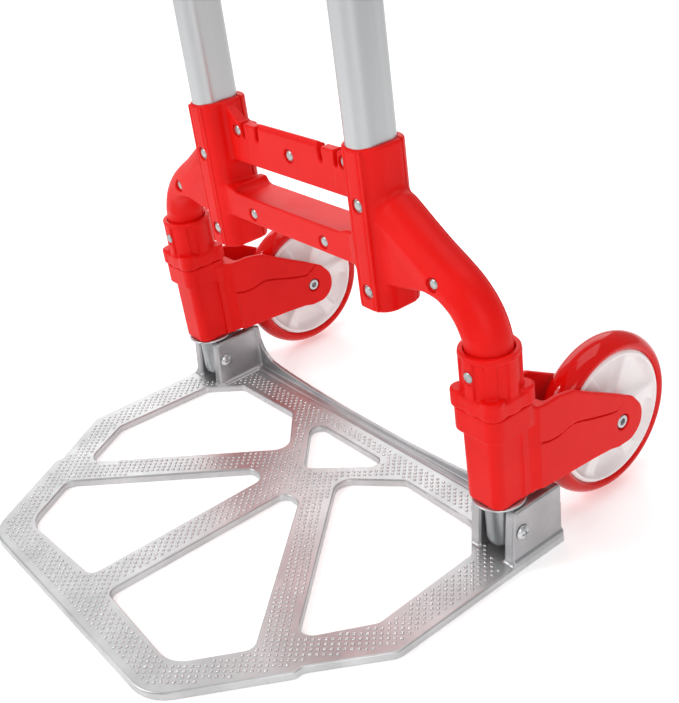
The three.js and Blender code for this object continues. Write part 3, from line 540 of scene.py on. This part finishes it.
def collar(x, y, z):
    """Eight-fluted ring with a rim above and a square lip with four bosses below."""
    u, w = x - LEG_X, y - LEG_Y
    radius = np.hypot(u, w)
    phase = np.cos(FLUTES * np.arctan2(w, u))
    flute = 18.3 + 1.5 * np.clip(phase * 2.6 + 0.6, 0, 1)
    ring = smax(radius - flute, slab(z, COLLAR_LOW, COLLAR_TOP - 2.5), 0.8)
    rim = meet(radius - 19.7, slab(z, 158.2, COLLAR_TOP), 1.0)
    tab = block(u, w, z, -2.8, 2.8, 13, 19.6, 157, COLLAR_TOP, 1.2)
    lip = meet(rect(u, w, -20.4, 20.4, -20.4, 20.4, 9.5), slab(z, COLLAR_LOW, 132.5), 2.0)
    corner = hole(np.abs(u), np.abs(w), 13.2, 13.2, 7.6)
    boss = meet(corner, slab(z, COLLAR_LOW, 134.5), 1.8)
    whole = smin(smin(smin(ring, rim, 1.0), lip, 2.0), np.minimum(boss, tab), 1.0)
    bore = meet(radius - (ARM_R + 0.5), 127.5 - z, 0.5)
    whole = smax(whole, -bore, 0.8)
    pit = meet(hole(u, z, 0, 148, 4.9), slab(w, -30, -19.0), 0.3)
    return smax(smax(whole, -pit, 0.7), -(radius - 10.3), 0.3)


both("collar",
     surface(collar, (LEG_X - COLLAR_HALF, LEG_Y - COLLAR_HALF, COLLAR_LOW),
             (LEG_X + COLLAR_HALF, LEG_Y + COLLAR_HALF, COLLAR_TOP), 0.7),
     RED, "frame")

# ---- wheel forks ----
FORK_SIDE = rounded([
    (-20, 52.6, 0), (-12, 51.6, 3), (2, 50, 8), (16, 49, 8), (31, 48.2, 12), (52, 46.8, 12),
    (69, 45, 6), (77, 42.8, 6), (90, 42.8, 13), (101.6, 50, 16), (101.6, 66, 16), (92, 77.5, 12),
    (74, 88, 34), (48, 102, 24), (30, 112, 12), (16, 114.8, 16), (3, 114.8, 6), (-6, 116.4, 0),
    (-20, 116.4, 0),
])
PANEL = smooth_path([
    (-1, 87.5), (3, 86.2), (8, 84.9), (17, 84.6), (31, 86.7), (50, 81), (71, 75.2), (77, 76.4),
    (83, 79.5), (90, 85),
], 4)
PANEL_AREA = [*PANEL, (120, 40), (-1, 30)]
ARM_FACE = 21.3
ARM_INSIDE = 17.1
HEAD_R, HEAD_PIT_R = 5.0, 6.0


def fork(x, y, z):
    """Sleeve and band on the leg, and two arms with a sunk panel; u and w count from the leg."""
    u, w = x - LEG_X, y - LEG_Y
    v = np.abs(x - WHEEL_X)
    half = 15.8 + 0.5 * (z - 50) / 56
    sleeve = meet(rect(u / half, w / half, -1, 1, -1, 1, 0.47) * half, slab(z, 50.2, 112), 2.0)
    band = meet(rect(u, w, -20, 20, -20, 20, 9.5), slab(z, 104.5, BAND_TOP), 1.2)
    outline = polygon(y, z, FORK_SIDE)
    sweep = np.clip(0.5 - (polygon(y, z, PANEL_AREA) + 0.4) / 1.1, 0, 1)
    foot = np.clip((-2.5 - y) / 8, 0, 1)
    arms = meet(outline, v - ARM_FACE + 1.5 * sweep + 3.0 * foot, 1.3)
    arms = np.maximum(arms, -16 - y)
    channel = rect(x, y, WHEEL_X - ARM_INSIDE, WHEEL_X + ARM_INSIDE, 5, 140, 3)
    open_arms = smax(arms, -channel, 1.2)
    hub = np.hypot(y - AXLE_Y, z - AXLE_Z)
    boss = np.maximum(hub - 9, slab(v, 13.4, ARM_INSIDE + 1))
    whole = smin(smin(sleeve, band, 1.0), open_arms, 2.4)
    whole = smin(whole, boss, 1.0)
    whole = smax(whole, -meet(hub - HEAD_PIT_R, (ARM_FACE - 4.4) - v, 0.2), 0.8)
    crease = meet(polyline(y, z, PANEL) - 0.9, (ARM_FACE - 2.6) - v, 0.3)
    whole = smax(whole, -crease, 0.4)
    notch = meet(rect(y, z, -8, 0, 40, 52.8, 0.8), ARM_FACE - 5 - v, 0.5)
    whole = smax(whole, -notch, 0.6)
    return smax(smax(whole, -(np.hypot(u, w) - 10.3), 0.5), -(hub - 4.3), 0.3)


fork_low, fork_high = box_mm("wheel_fork_right")
both("wheel_fork", surface(fork, (fork_low[0], LEG_Y - 20.2, fork_low[2]),
                           (fork_high[0], fork_high[1] - SHIFT_Y, fork_high[2]), 0.85),
     RED, "fork")

# ---- wheels ----
TREAD = [(49.5, -10.0), (51.0, -11.2), (52.6, -11.6), (54.2, -11.0), (56.0, -9.4),
         (57.7, -7.2), (58.9, -4.6), (59.5, -2.3), (WHEEL_R, 0)]
TREAD_PROFILE = TREAD + [(r, -h) for r, h in reversed(TREAD[:-1])] + [TREAD[0]]
tyre_profile = [(r, WHEEL_X + h) for r, h in TREAD_PROFILE]
both("tyre", turned(tyre_profile, "x", AXLE_Y, AXLE_Z, 128), TYRE, "wheel")

SPOKES = 6
RIM_R = 49.2


def rim(x, y, z):
    """Band, web, hub and spoke ridges; v, b and c count from the wheel's centre."""
    v, b, c = np.abs(x - WHEEL_X), y - AXLE_Y, z - AXLE_Z
    radius = np.hypot(b, c)
    band = meet(radius - RIM_R, 44.6 - radius + v * 0.12, 0.6)
    band = smax(band, v - 11.4, 0.6)
    band = smax(band, radius + v - 58.6, 0.4)
    web = np.maximum(radius - 46, v - 2.0)
    hub = meet(radius - 14, v - 12.6, 1.2)
    angle = np.arctan2(c, b) * SPOKES / (2 * math.pi)
    off = np.abs(angle - np.round(angle)) * 2 * math.pi / SPOKES * radius
    ridge = smax(off - (3.4 + radius * 0.055), v - 8.6 + np.maximum(radius - 30, 0) * 0.05, 2.0)
    ridge = np.maximum(ridge, radius - 47)
    whole = smin(smin(smin(band, web, 5), hub, 6), ridge, 4)
    return smax(whole, -(radius - 7.8), 0.4)


rim_low, rim_high = box_mm("rim_right")
both("rim",
     surface(rim, (rim_low[0], AXLE_Y - 49.4, AXLE_Z - 49.4),
             (rim_high[0], AXLE_Y + 49.4, AXLE_Z + 49.4), 0.9),
     RIM, "wheel")


def axle_head(side):
    """Socket head with a domed edge; side is 1 on the outboard face and -1 on the inboard face."""
    def field(x, y, z):
        v = (x - WHEEL_X) * side
        b, c = y - AXLE_Y, z - AXLE_Z
        radius = np.hypot(b, c)
        head = meet(radius - HEAD_R, slab(v, 17.4, ARM_FACE - 1.9), 0.9)
        shank = np.maximum(radius - 4, slab(v, -10 if side > 0 else 10.3, 18.4))
        hexagon = np.maximum(np.abs(b), np.abs(b) / 2 + np.abs(c) * 0.8660) - 2.3
        whole = np.minimum(head, shank)
        return smax(whole, -meet(hexagon, 16.2 - v, 0.1), 0.5)
    return field


for node, side in (("axle_barrel", 1), ("axle_screw", -1)):
    low, high = box_mm(f"{node}_right")
    both(node,
         surface(axle_head(side), (low[0], AXLE_Y - 6.2, AXLE_Z - 6.2),
                 (high[0], AXLE_Y + 6.2, AXLE_Z + 6.2), 0.4),
         STEEL, "fork")

# ---- rivets, legs and washers ----


def rivet_shape(x0, z0, face, depth):
    """Domed head sunk below the face, on a shank."""
    top = face + 0.25
    profile = [(0.5, top), (1.2, top + 0.03), (1.9, top + 0.1), (2.5, top + 0.22),
               (3.0, top + 0.42), (3.4, top + 0.75), (3.6, face + 1.15), (3.6, face + 1.35),
               (2.2, face + 1.4), (2.2, face + depth)]
    return turned(profile, "y", x0, z0, 32)


for word, row in RIVETS.items():
    if word == "centre":
        piece("rivet_centre_look", rivet_shape(*row), RIVET, "frame",
              ["rivet_centre"])
    else:
        both(f"rivet_{word}", rivet_shape(*row), RIVET, "frame")

post_bottom, post_top = post_low[2], post_high[2]
post_profile = [(4.0, post_bottom), (6.2, post_bottom + 0.3), (8.2, post_bottom + 1.4),
                (9.4, post_bottom + 3.2), (10, post_bottom + 6), (10, post_top)]
both("leg_post", turned(post_profile, "z", LEG_X, LEG_Y, 64), POST, "frame")
washer_low, washer_high = box_mm("leg_washer_right")
w0, w1 = washer_low[2], washer_high[2]
washer_profile = [(10.3, w0), (17.8, w0), (18.2, w0 + 0.35), (18.2, w1 - 0.35), (17.8, w1),
                  (10.3, w1), (10.3, w0)]
both("leg_washer", turned(washer_profile, "z", LEG_X, LEG_Y, 72), STEEL, "frame")

# ---- toe plate ----
HINGE_Y, HINGE_Z = -23.0, 29.0
PLATE_T = 6.0
plate_low, plate_high = box_mm("toe_plate")
PLATE_REAR, PLATE_FRONT = plate_high[1] - SHIFT_Y, plate_low[1] - SHIFT_Y
PLATE_HALF = plate_high[0]


def mirrored(corners):
    return [*corners, *[(-x, y, r) for x, y, r in reversed(corners)]]


EDGE = rounded(mirrored([
    (PLATE_HALF - 1, PLATE_REAR, 3), (PLATE_HALF - 1, -34, 30), (PLATE_HALF, -137, 14),
    (166.6, -186.6, 6), (167.2, -192.4, 6), (117, PLATE_FRONT, 32),
]), 8)
SIDE_HOLE = rounded([
    (31.4, -50.9, 12), (72, -17.3, 6), (143, -19, 8), (167, -43, 8), (171, -128.5, 8),
    (144, -173.5, 9),
], 8)
FRONT_HOLE = rounded([
    (30.6, -88, 8), (131.5, -198.7, 8), (103, -243, 22), (13, -239, 7), (14, -88, 8),
], 8)
REAR_HOLE = rounded([(50, -12, 7), (0, -58, 6), (-50, -12, 7)], 8)


def flipped(outline):
    return [(-x, y) for x, y in reversed(outline)]


HOLES = [SIDE_HOLE, flipped(SIDE_HOLE), FRONT_HOLE, flipped(FRONT_HOLE), REAR_HOLE]
# Section of the plate's edge: inset from the outline, height, and angle of the normal above level.
EDGE_SECTION = [(0.9, 0.0, -90), (0.26, 0.26, -45), (0, 0.9, 0), (0.35, PLATE_T - 1.5, 4),
                (0.75, PLATE_T - 0.45, 45), (1.7, PLATE_T, 90)]


def signed_area(outline):
    p = np.array(outline)
    q = np.roll(p, -1, 0)
    return float((p[:, 0] * q[:, 1] - p[:, 1] * q[:, 0]).sum() / 2)


def without_repeats(outline):
    out = [outline[0]]
    for q in outline[1:]:
        if math.dist(q, out[-1]) > 0.02:
            out.append(q)
    return out if math.dist(out[0], out[-1]) > 0.02 else out[:-1]


def plate_deck():
    """The flat casting: rounded walls along the outline and each hole, closed above and below."""
    points, normals, faces = [], [], []
    rims = {0: [], len(EDGE_SECTION) - 1: []}
    for number, outline in enumerate([EDGE, *HOLES]):
        outline = without_repeats(outline)
        if (signed_area(outline) > 0) != (number == 0):
            outline = outline[::-1]
        p = np.array(outline)
        ahead = np.roll(p, -1, 0) - p
        ahead /= np.linalg.norm(ahead, axis=1)[:, None]
        outward = np.stack([ahead[:, 1], -ahead[:, 0]], 1)
        corner = outward + np.roll(outward, 1, 0)
        corner /= (corner * corner).sum(1)[:, None] / 2
        unit = corner / np.linalg.norm(corner, axis=1)[:, None]
        n, start = len(p), len(points)
        for inset, height, rise in EDGE_SECTION:
            q = p - corner * inset
            c, s = math.cos(math.radians(rise)), math.sin(math.radians(rise))
            points += [(a, b, height) for a, b in q]
            normals += [(a * c, b * c, s) for a, b in unit]
        for foot in range(start, start + (len(EDGE_SECTION) - 1) * n, n):
            for i in range(n):
                k = (i + 1) % n
                faces.append((foot + i, foot + k, foot + n + k, foot + n + i))
        for level in rims:
            rims[level].append([start + level * n + i for i in range(n)])
    for level, loops in rims.items():
        bm = bmesh.new()
        verts = {}
        for loop in loops:
            made = [bm.verts.new(points[i]) for i in loop]
            verts.update({v: i for v, i in zip(made, loop)})
            for a, b in zip(made, made[1:] + made[:1]):
                bm.edges.new((a, b))
        bmesh.ops.triangle_fill(bm, use_beauty=True, edges=bm.edges[:], normal=(0, 0, 1))
        for face in bm.faces:
            ids = [verts[v] for v in face.verts]
            up = face.normal.z > 0
            faces.append(tuple(ids if up == (level > 0) else ids[::-1]))
        bm.free()
    return points, faces, normals


LIP_END = LEG_X + 18.8
CHEEK_INNER, CHEEK_OUTER = 11, 19.8
BRACKET_TOP = 46.5
LIP = rounded([
    (7.8, 2, 0), (PLATE_REAR - 0.1, 2, 0), (PLATE_REAR - 0.1, 9.6, 1.0), (12.5, 9.6, 0.9),
    (11.6, 7.3, 0.6), (7.8, 6.9, 0.7),
])
RISE = rounded([
    (-4, 4, 0), (160, 4, 0), (160, 46.4, 0), (156.8, 46.4, 1.2), (155.6, 34, 8), (151.5, 25, 9),
    (146, 19.8, 9), (140, 17, 9), (130, 15.4, 12), (120, 14.3, 12), (105, 13.1, 12),
    (85, 11.7, 20), (50, 10.2, 30), (20, 9.6, 30), (-4, 9.6, 0),
])
CHEEK = rounded([(-34, 1, 0), (14, 1, 0), (15.4, BRACKET_TOP, 3), (-29.5, BRACKET_TOP, 4.5)])


def brackets(x, y, z):
    """Rear lip, cheeks, rear wall rises and foot ledges, fading into the deck."""
    ax = np.abs(x)
    deck = np.maximum(np.maximum(z - (PLATE_T - 0.12), 2.0 - z), -40 - y)
    lip = meet(polygon(y, z, LIP), slab(x, -LIP_END, LIP_END), 0.9)
    rise = meet(polygon(ax, z, RISE), slab(y, 12.4, PLATE_REAR - 0.1), 0.9)
    cheek_side = polygon(y, z, CHEEK)
    inner_cheek = meet(cheek_side, slab(ax, LEG_X - CHEEK_OUTER, LEG_X - CHEEK_INNER), 2.0)
    outer_cheek = meet(cheek_side, slab(ax, LEG_X + CHEEK_INNER, LEG_X + CHEEK_OUTER), 2.0)
    back = block(ax, y, z, LEG_X - 19, LEG_X + 19, 9.5, 14.6, 3, 31, 1.0)
    ledge = block(ax, y, z, LEG_X + 18, PLATE_HALF - 1.6, -33.4, 14.9, 2, 9.4, 1.3)
    inner_ledge = block(ax, y, z, LEG_X - 21.4, LEG_X - 18, -33.0, 12, 2, 8.2, 1.2)
    whole = smin(smin(lip, rise, 1.0), np.minimum(inner_cheek, outer_cheek), 2.5)
    whole = smin(smin(whole, back, 2.0), ledge, 1.6)
    whole = smin(smin(whole, inner_ledge, 2.0), deck, 3.4)
    whole = smax(whole, 2.0 - z, 0.3)
    outline = polygon(x, y, EDGE)
    whole = np.maximum(whole, outline + 0.4)
    holes = np.minimum(polygon(ax, y, SIDE_HOLE), polygon(ax, y, REAR_HOLE))
    whole = np.maximum(whole, 0.6 - holes)
    return smax(whole, -(np.hypot(y - HINGE_Y, z - HINGE_Z) - 3.3), 0.3)


piece("toe_plate_deck", plate_deck(), DECK, "toe_plate", ["toe_plate"])
piece("toe_plate_brackets",
      surface(brackets, (-PLATE_HALF, -41, 1), (PLATE_HALF, PLATE_REAR, BRACKET_TOP), 0.8),
      CAST, "toe_plate")

# ---- raised grip studs on a square grid turned by 45 degrees ----
STUD_X, STUD_Y = 0.35, -2.97
STUD_PITCH = 4.31
STUD_REACH = 70
STUD_EDGE_MARGIN, STUD_HOLE_MARGIN = 5.6, 4.2
STUD_REAR = 3.0
STUD_STEPS = 10
STUD_RINGS = [(1.36, -0.15), (1.28, 0.25), (0.98, 0.55), (0.5, 0.7)]


def stud_places():
    """Grid points on the plate, clear of its edge, its holes and the brackets."""
    count = np.arange(-STUD_REACH, STUD_REACH + 1)
    i, j = np.meshgrid(count, count)
    a = ((i - j) * STUD_PITCH / math.sqrt(2)).ravel() + STUD_X
    b = ((i + j) * STUD_PITCH / math.sqrt(2)).ravel() + STUD_Y
    keep = polygon(a, b, EDGE) < -STUD_EDGE_MARGIN
    for outline in HOLES:
        keep &= polygon(a, b, outline) > STUD_HOLE_MARGIN
    beside = np.abs(np.abs(a) - LEG_X) < 24
    keep &= ~(beside & (b > -44 + 0.5 * (LEG_X + 20 - np.abs(a)))) & (b < STUD_REAR)
    return zip(a[keep], b[keep])


def studs():
    """One closed dome per stud, its foot just below the face of the plate."""
    points, faces = [], []
    for x0, y0 in stud_places():
        foot = len(points)
        for radius, height in STUD_RINGS:
            for k in range(STUD_STEPS):
                t = 2 * math.pi * k / STUD_STEPS
                points.append((x0 + radius * math.cos(t), y0 + radius * math.sin(t),
                               PLATE_T + height))
        crown = len(points) - STUD_STEPS
        for low in range(foot, crown, STUD_STEPS):
            for k in range(STUD_STEPS):
                m = (k + 1) % STUD_STEPS
                faces.append((low + k, low + m, low + STUD_STEPS + m, low + STUD_STEPS + k))
        faces.append(tuple(crown + k for k in range(STUD_STEPS)))
        faces.append(tuple(foot + k for k in reversed(range(STUD_STEPS))))
    return points, faces, None


piece("toe_plate_studs", studs(), STUD, "toe_plate")

# ---- hinge bolts and their nuts ----


def bolt_field(head, tail):
    """Pan head with a cross recess on a shank, from x = tail to the head's foot at x = head."""
    def field(x, y, z):
        b, c = y - HINGE_Y, z - HINGE_Z
        radius = np.hypot(b, c)
        dome = np.hypot(radius, x - (head - 4.2)) - 7.35
        cap = smax(np.maximum(radius - 5.8, head - x), dome, 0.7)
        shank = meet(radius - 3, slab(x, tail, head + 1), 0.4)
        cross = np.minimum(meet(slab(b, -2.9, 2.9), slab(c, -0.65, 0.65), 0.2),
                           meet(slab(c, -2.9, 2.9), slab(b, -0.65, 0.65), 0.2))
        whole = np.minimum(cap, shank)
        return smax(whole, -np.maximum(cross, head + 1.5 + 0.15 * radius - x), 0.3)
    return field


for word in ("right", "left"):
    low, high = box_mm(f"hinge_bolt_{word}")
    head = high[0] - 3.2
    piece(f"hinge_bolt_{word}_look",
          surface(bolt_field(head, low[0]), (low[0], HINGE_Y - 5.9, HINGE_Z - 5.9),
                  (high[0], HINGE_Y + 5.9, HINGE_Z + 5.9), 0.33),
          STEEL, "toe_plate", [f"hinge_bolt_{word}"])
    soften(NODES[f"hinge_nut_{word}"], 0.4)

# ---- tubes ----
TUBE_EDGE = 0.35
INNER_TOP = GRIP_LOW + 17


def tube_shape(low, high, half_a, half_b, corner, wall):
    """Open oval tube: its section is (inset, height, angle of the normal above level)."""
    e = TUBE_EDGE
    section = [(e, low, -90), (0, low + e, 0), (0, high - e, 0), (e, high, 90),
               (wall - e, high, 90), (wall, high - e, 180), (wall, low + e, 180),
               (wall - e, low, -90), (e, low, -90)]
    points, normals, faces = [], [], []
    corners = [(-half_a, -half_b), (half_a, -half_b), (half_a, half_b), (-half_a, half_b)]
    base = np.array(rounded([(a, b, corner) for a, b in corners], 12))
    n = len(base)
    ahead = np.roll(base, -1, 0) - np.roll(base, 1, 0)
    outward = np.stack([ahead[:, 1], -ahead[:, 0]], 1)
    outward /= np.linalg.norm(outward, axis=1)[:, None]
    for inset, height, rise in section:
        c, s = math.cos(math.radians(rise)), math.sin(math.radians(rise))
        points += [(TUBE_X + a, TUBE_Y + b, height) for a, b in base - outward * inset]
        normals += [(a * c, b * c, s) for a, b in outward]
    for foot in range(0, (len(section) - 1) * n, n):
        for i in range(n):
            k = (i + 1) % n
            faces.append((foot + i, foot + k, foot + n + k, foot + n + i))
    return points, faces, normals


both("outer_tube", tube_shape(TUBE_LOW, TUBE_TOP, 12, 16.5, 10, 1.6),
     TUBE, "frame")
both("inner_tube", tube_shape(INNER_LOW, INNER_TOP, 9.8, 14.3, 8, 1.5),
     TUBE, "handle")

# ---- yoke at the top of the outer tubes ----
YOKE_BACK = TUBE_Y + 19.5
SCREW_Z = 622.0
YOKE_BAR = rounded([
    (-84, YOKE_LOW + 3, 0), (84, YOKE_LOW + 3, 0), (84, YOKE_TOP - 4, 0), (62, YOKE_TOP - 4, 14),
    (50, YOKE_TOP - 12, 14), (-50, YOKE_TOP - 12, 14), (-62, YOKE_TOP - 4, 14),
    (-84, YOKE_TOP - 4, 0),
])


def yoke(x, y, z):
    """Two cups on the outer tubes, joined by a dipped bar with a sunk panel in front."""
    ax = np.abs(x)
    ends = meet(rect(ax, y, TUBE_X - 16, TUBE_X + 16, TUBE_Y - 19.5, YOKE_BACK, 12),
                slab(z, YOKE_LOW, YOKE_TOP), 2)
    bar = meet(polygon(x, z, YOKE_BAR), slab(y, TUBE_Y - 11, TUBE_Y + 11), 3)
    panel = block(x, y, z, -46, 46, TUBE_Y - 12, TUBE_Y - 10, YOKE_LOW + 8, YOKE_TOP - 17, 3)
    whole = smin(ends, smax(bar, -panel, 0.8), 5)
    outer = rect(ax, y, TUBE_X - 12.3, TUBE_X + 12.3, TUBE_Y - 16.8, TUBE_Y + 16.8, 10)
    inner = rect(ax, y, TUBE_X - 10.3, TUBE_X + 10.3, TUBE_Y - 14.8, TUBE_Y + 14.8, 8)
    whole = smax(whole, -np.maximum(outer, z - TUBE_TOP - 0.3), 0.5)
    whole = smax(whole, -inner, 1.0)
    pit = meet(hole(ax, z, TUBE_X, SCREW_Z, 4.0), YOKE_BACK - 1.4 - y, 0.2)
    return smax(whole, -pit, 0.5)


piece("top_yoke_look",
      surface(yoke, (-105.2, TUBE_Y - 19.7, YOKE_LOW), (105.2, YOKE_BACK + 0.2, YOKE_TOP), 1.0),
      RED, "frame", ["top_yoke"])

# ---- grip ----
GRIP_R = 15
GRIP_Z = GRIP_TOP - 15.1
GRIP_HALF = box_mm("grip_back_half")[1][0]
POCKET_LOW = 950
RIDGE_PITCH, RIDGE_DEPTH = 5.0, 0.35
GRIP_PATH = smooth_path([
    (0, GRIP_Z), (60, GRIP_Z), (76, GRIP_Z - 1), (85.5, GRIP_Z - 6), (TUBE_X, GRIP_Z - 17),
    (TUBE_X, GRIP_LOW - 20),
], 5)


def grip(x, y, z):
    """Ridged bar bent down to a cuff on each inner tube, with room for the button and its rods."""
    ax = np.abs(x)
    bar = np.hypot(polyline(ax, z, GRIP_PATH), y - TUBE_Y) - GRIP_R
    wave = 0.5 + 0.5 * np.cos(x * 2 * math.pi / RIDGE_PITCH)
    bar = bar + RIDGE_DEPTH * wave * np.clip((60 - ax) / 6, 0, 1)
    cuff = meet(rect(ax, y, TUBE_X - 14, TUBE_X + 14, TUBE_Y - 18, TUBE_Y + 18, 11),
                slab(z, GRIP_LOW, GRIP_LOW + 22), 2.0)
    whole = smin(smax(bar, GRIP_LOW - z, 1.0), cuff, 3)
    pocket = block(x, y, z, -26, 26, TUBE_Y - 7.5, TUBE_Y + 7.5, POCKET_LOW, GRIP_Z + 4, 1.0)
    sleeve = rect(ax, y, TUBE_X - 10.1, TUBE_X + 10.1, TUBE_Y - 14.6, TUBE_Y + 14.6, 8)
    sleeve = np.maximum(sleeve, z - INNER_TOP - 0.3)
    rod_bore = np.maximum(np.hypot(ax - TUBE_X, y - TUBE_Y) - 2.6, z - GRIP_Z)
    sleeve = np.minimum(sleeve, rod_bore)
    gallery = rect(y, z, TUBE_Y - 4, TUBE_Y + 4, GRIP_Z - 6, GRIP_Z + 4.4, 1)
    gallery = np.maximum(gallery, ax - TUBE_X - 3)
    whole = smax(smax(whole, -pocket, 1.0), -sleeve, 0.6)
    return np.maximum(whole, -gallery)


for word, side, y0, y1 in (("front", -1, TUBE_Y - 18.2, TUBE_Y),
                           ("back", 1, TUBE_Y, TUBE_Y + 18.2)):
    def half(x, y, z, side=side):
        return smax(grip(x, y, z), (TUBE_Y - y) * side + SEAM_GAP, 0.9)
    piece(f"grip_{word}_look",
          surface(half, (-GRIP_HALF, y0, GRIP_LOW), (GRIP_HALF, y1, GRIP_TOP), 1.0),
          BLACK, "handle", [f"grip_{word}_half"])

# ---- release button with its bar and rods ----
button_low, button_high = box_mm("release_button")
PAD_LOW, DISH_Z = 964, 958.5


def button(x, y, z):
    ax = np.abs(x)
    pad = block(x, y, z, -25, 25, TUBE_Y - 7, TUBE_Y + 7, PAD_LOW, GRIP_Z - 4, 2.6)
    dish = np.hypot(x / 4, z - DISH_Z) - 7.0
    bar = block(ax, y, z, -2, button_high[0], TUBE_Y - 2, TUBE_Y + 2, GRIP_Z - 5.3,
                button_high[2], 0.5)
    rods = np.maximum(np.hypot(ax - TUBE_X, y - TUBE_Y) - 2, slab(z, button_low[2], GRIP_Z - 3))
    return np.minimum(np.minimum(smax(pad, -dish, 1.0), bar), rods)


piece("release_button_look",
      surface(button, (-button_high[0], TUBE_Y - 7.2, button_low[2]),
              (button_high[0], TUBE_Y + 7.2, button_high[2]), 0.9),
      RED, "release", ["release_button"])
for node in ("yoke_screw_right", "yoke_screw_left"):
    soften(NODES[node], 0.25)

# ---- camera: the photograph's angle, with its height of 703 pixels as the sensor's side ----
PHOTO_SIDE, FOCAL = 703.0, 1092.456
SENSOR = 36.0
camera = bpy.data.objects.new("camera", bpy.data.cameras.new("camera"))
bpy.context.scene.collection.objects.link(camera)
RIGHT = Vector((0.62119, 0.77378, -0.12406))
DOWN = Vector((0.31221, -0.38957, -0.86647))
AHEAD = Vector((-0.71878, 0.49951, -0.48358))
turn = Matrix((RIGHT, -DOWN, -AHEAD)).transposed()
camera.matrix_world = Matrix.Translation((0.59868, -0.36167, 0.49105)) @ turn.to_4x4()
camera.data.sensor_width = SENSOR
camera.data.lens = FOCAL * SENSOR / PHOTO_SIDE
camera.data.clip_start, camera.data.clip_end = 0.01, 30.0
bpy.context.scene.camera = camera

# ---- floor and light ----
FLOOR_HALF = 25
floor_mesh = bpy.data.meshes.new("floor")
floor_mesh.from_pydata([(FLOOR_HALF * a, FLOOR_HALF * b, 0) for a, b in
                        ((-1, -1), (1, -1), (1, 1), (-1, 1))], [], [(0, 1, 2, 3)])
floor = bpy.data.objects.new("floor", floor_mesh)
bpy.context.scene.collection.objects.link(floor)
pale, nodes, links, shader = tree("pale_floor")
shader.inputs["Roughness"].default_value = 0.30
shader.inputs["Specular IOR Level"].default_value = 0.35
shader.inputs["Base Color"].default_value = (0.90, 0.895, 0.895, 1)
shader.inputs["Emission Color"].default_value = (1, 0.995, 0.995, 1)
shader.inputs["Emission Strength"].default_value = 0.34
floor_mesh.materials.append(pale)

world = bpy.data.worlds.new("studio")
bpy.context.scene.world = world
world.use_nodes = True
world.node_tree.nodes["Background"].inputs["Color"].default_value = (1.0, 1.0, 1.0, 1)
world.node_tree.nodes["Background"].inputs["Strength"].default_value = 0.40
bpy.context.scene.view_settings.view_transform = "Standard"


def lamp(name, place, target, size, power):
    """A rectangular lamp at a place, turned to its target."""
    data = bpy.data.lights.new(name, "AREA")
    data.shape = "RECTANGLE"
    data.size, data.size_y = size
    data.energy = power
    obj = bpy.data.objects.new(name, data)
    bpy.context.scene.collection.objects.link(obj)
    obj.location = place
    obj.rotation_mode = "QUATERNION"
    obj.rotation_quaternion = (Vector(target) - Vector(place)).to_track_quat("-Z", "Y")


lamp("key", (-1.1, -1.9, 1.4), (0, 0, 0.12), (1.4, 1.2), 20)
lamp("spark", (-0.9, -1.5, 2.0), (0, 0, 0.1), (0.35, 0.25), 9)
lamp("top", (0.2, 0.5, 2.3), (0, 0, 0.1), (1.6, 1.6), 16)
lamp("side", (1.9, -1.1, 1.1), (0, 0, 0.15), (1.2, 1.2), 13)
lamp("back", (-2.4, 1.7, 1.7), (0, 0, 0.1), (3.2, 2.0), 34)
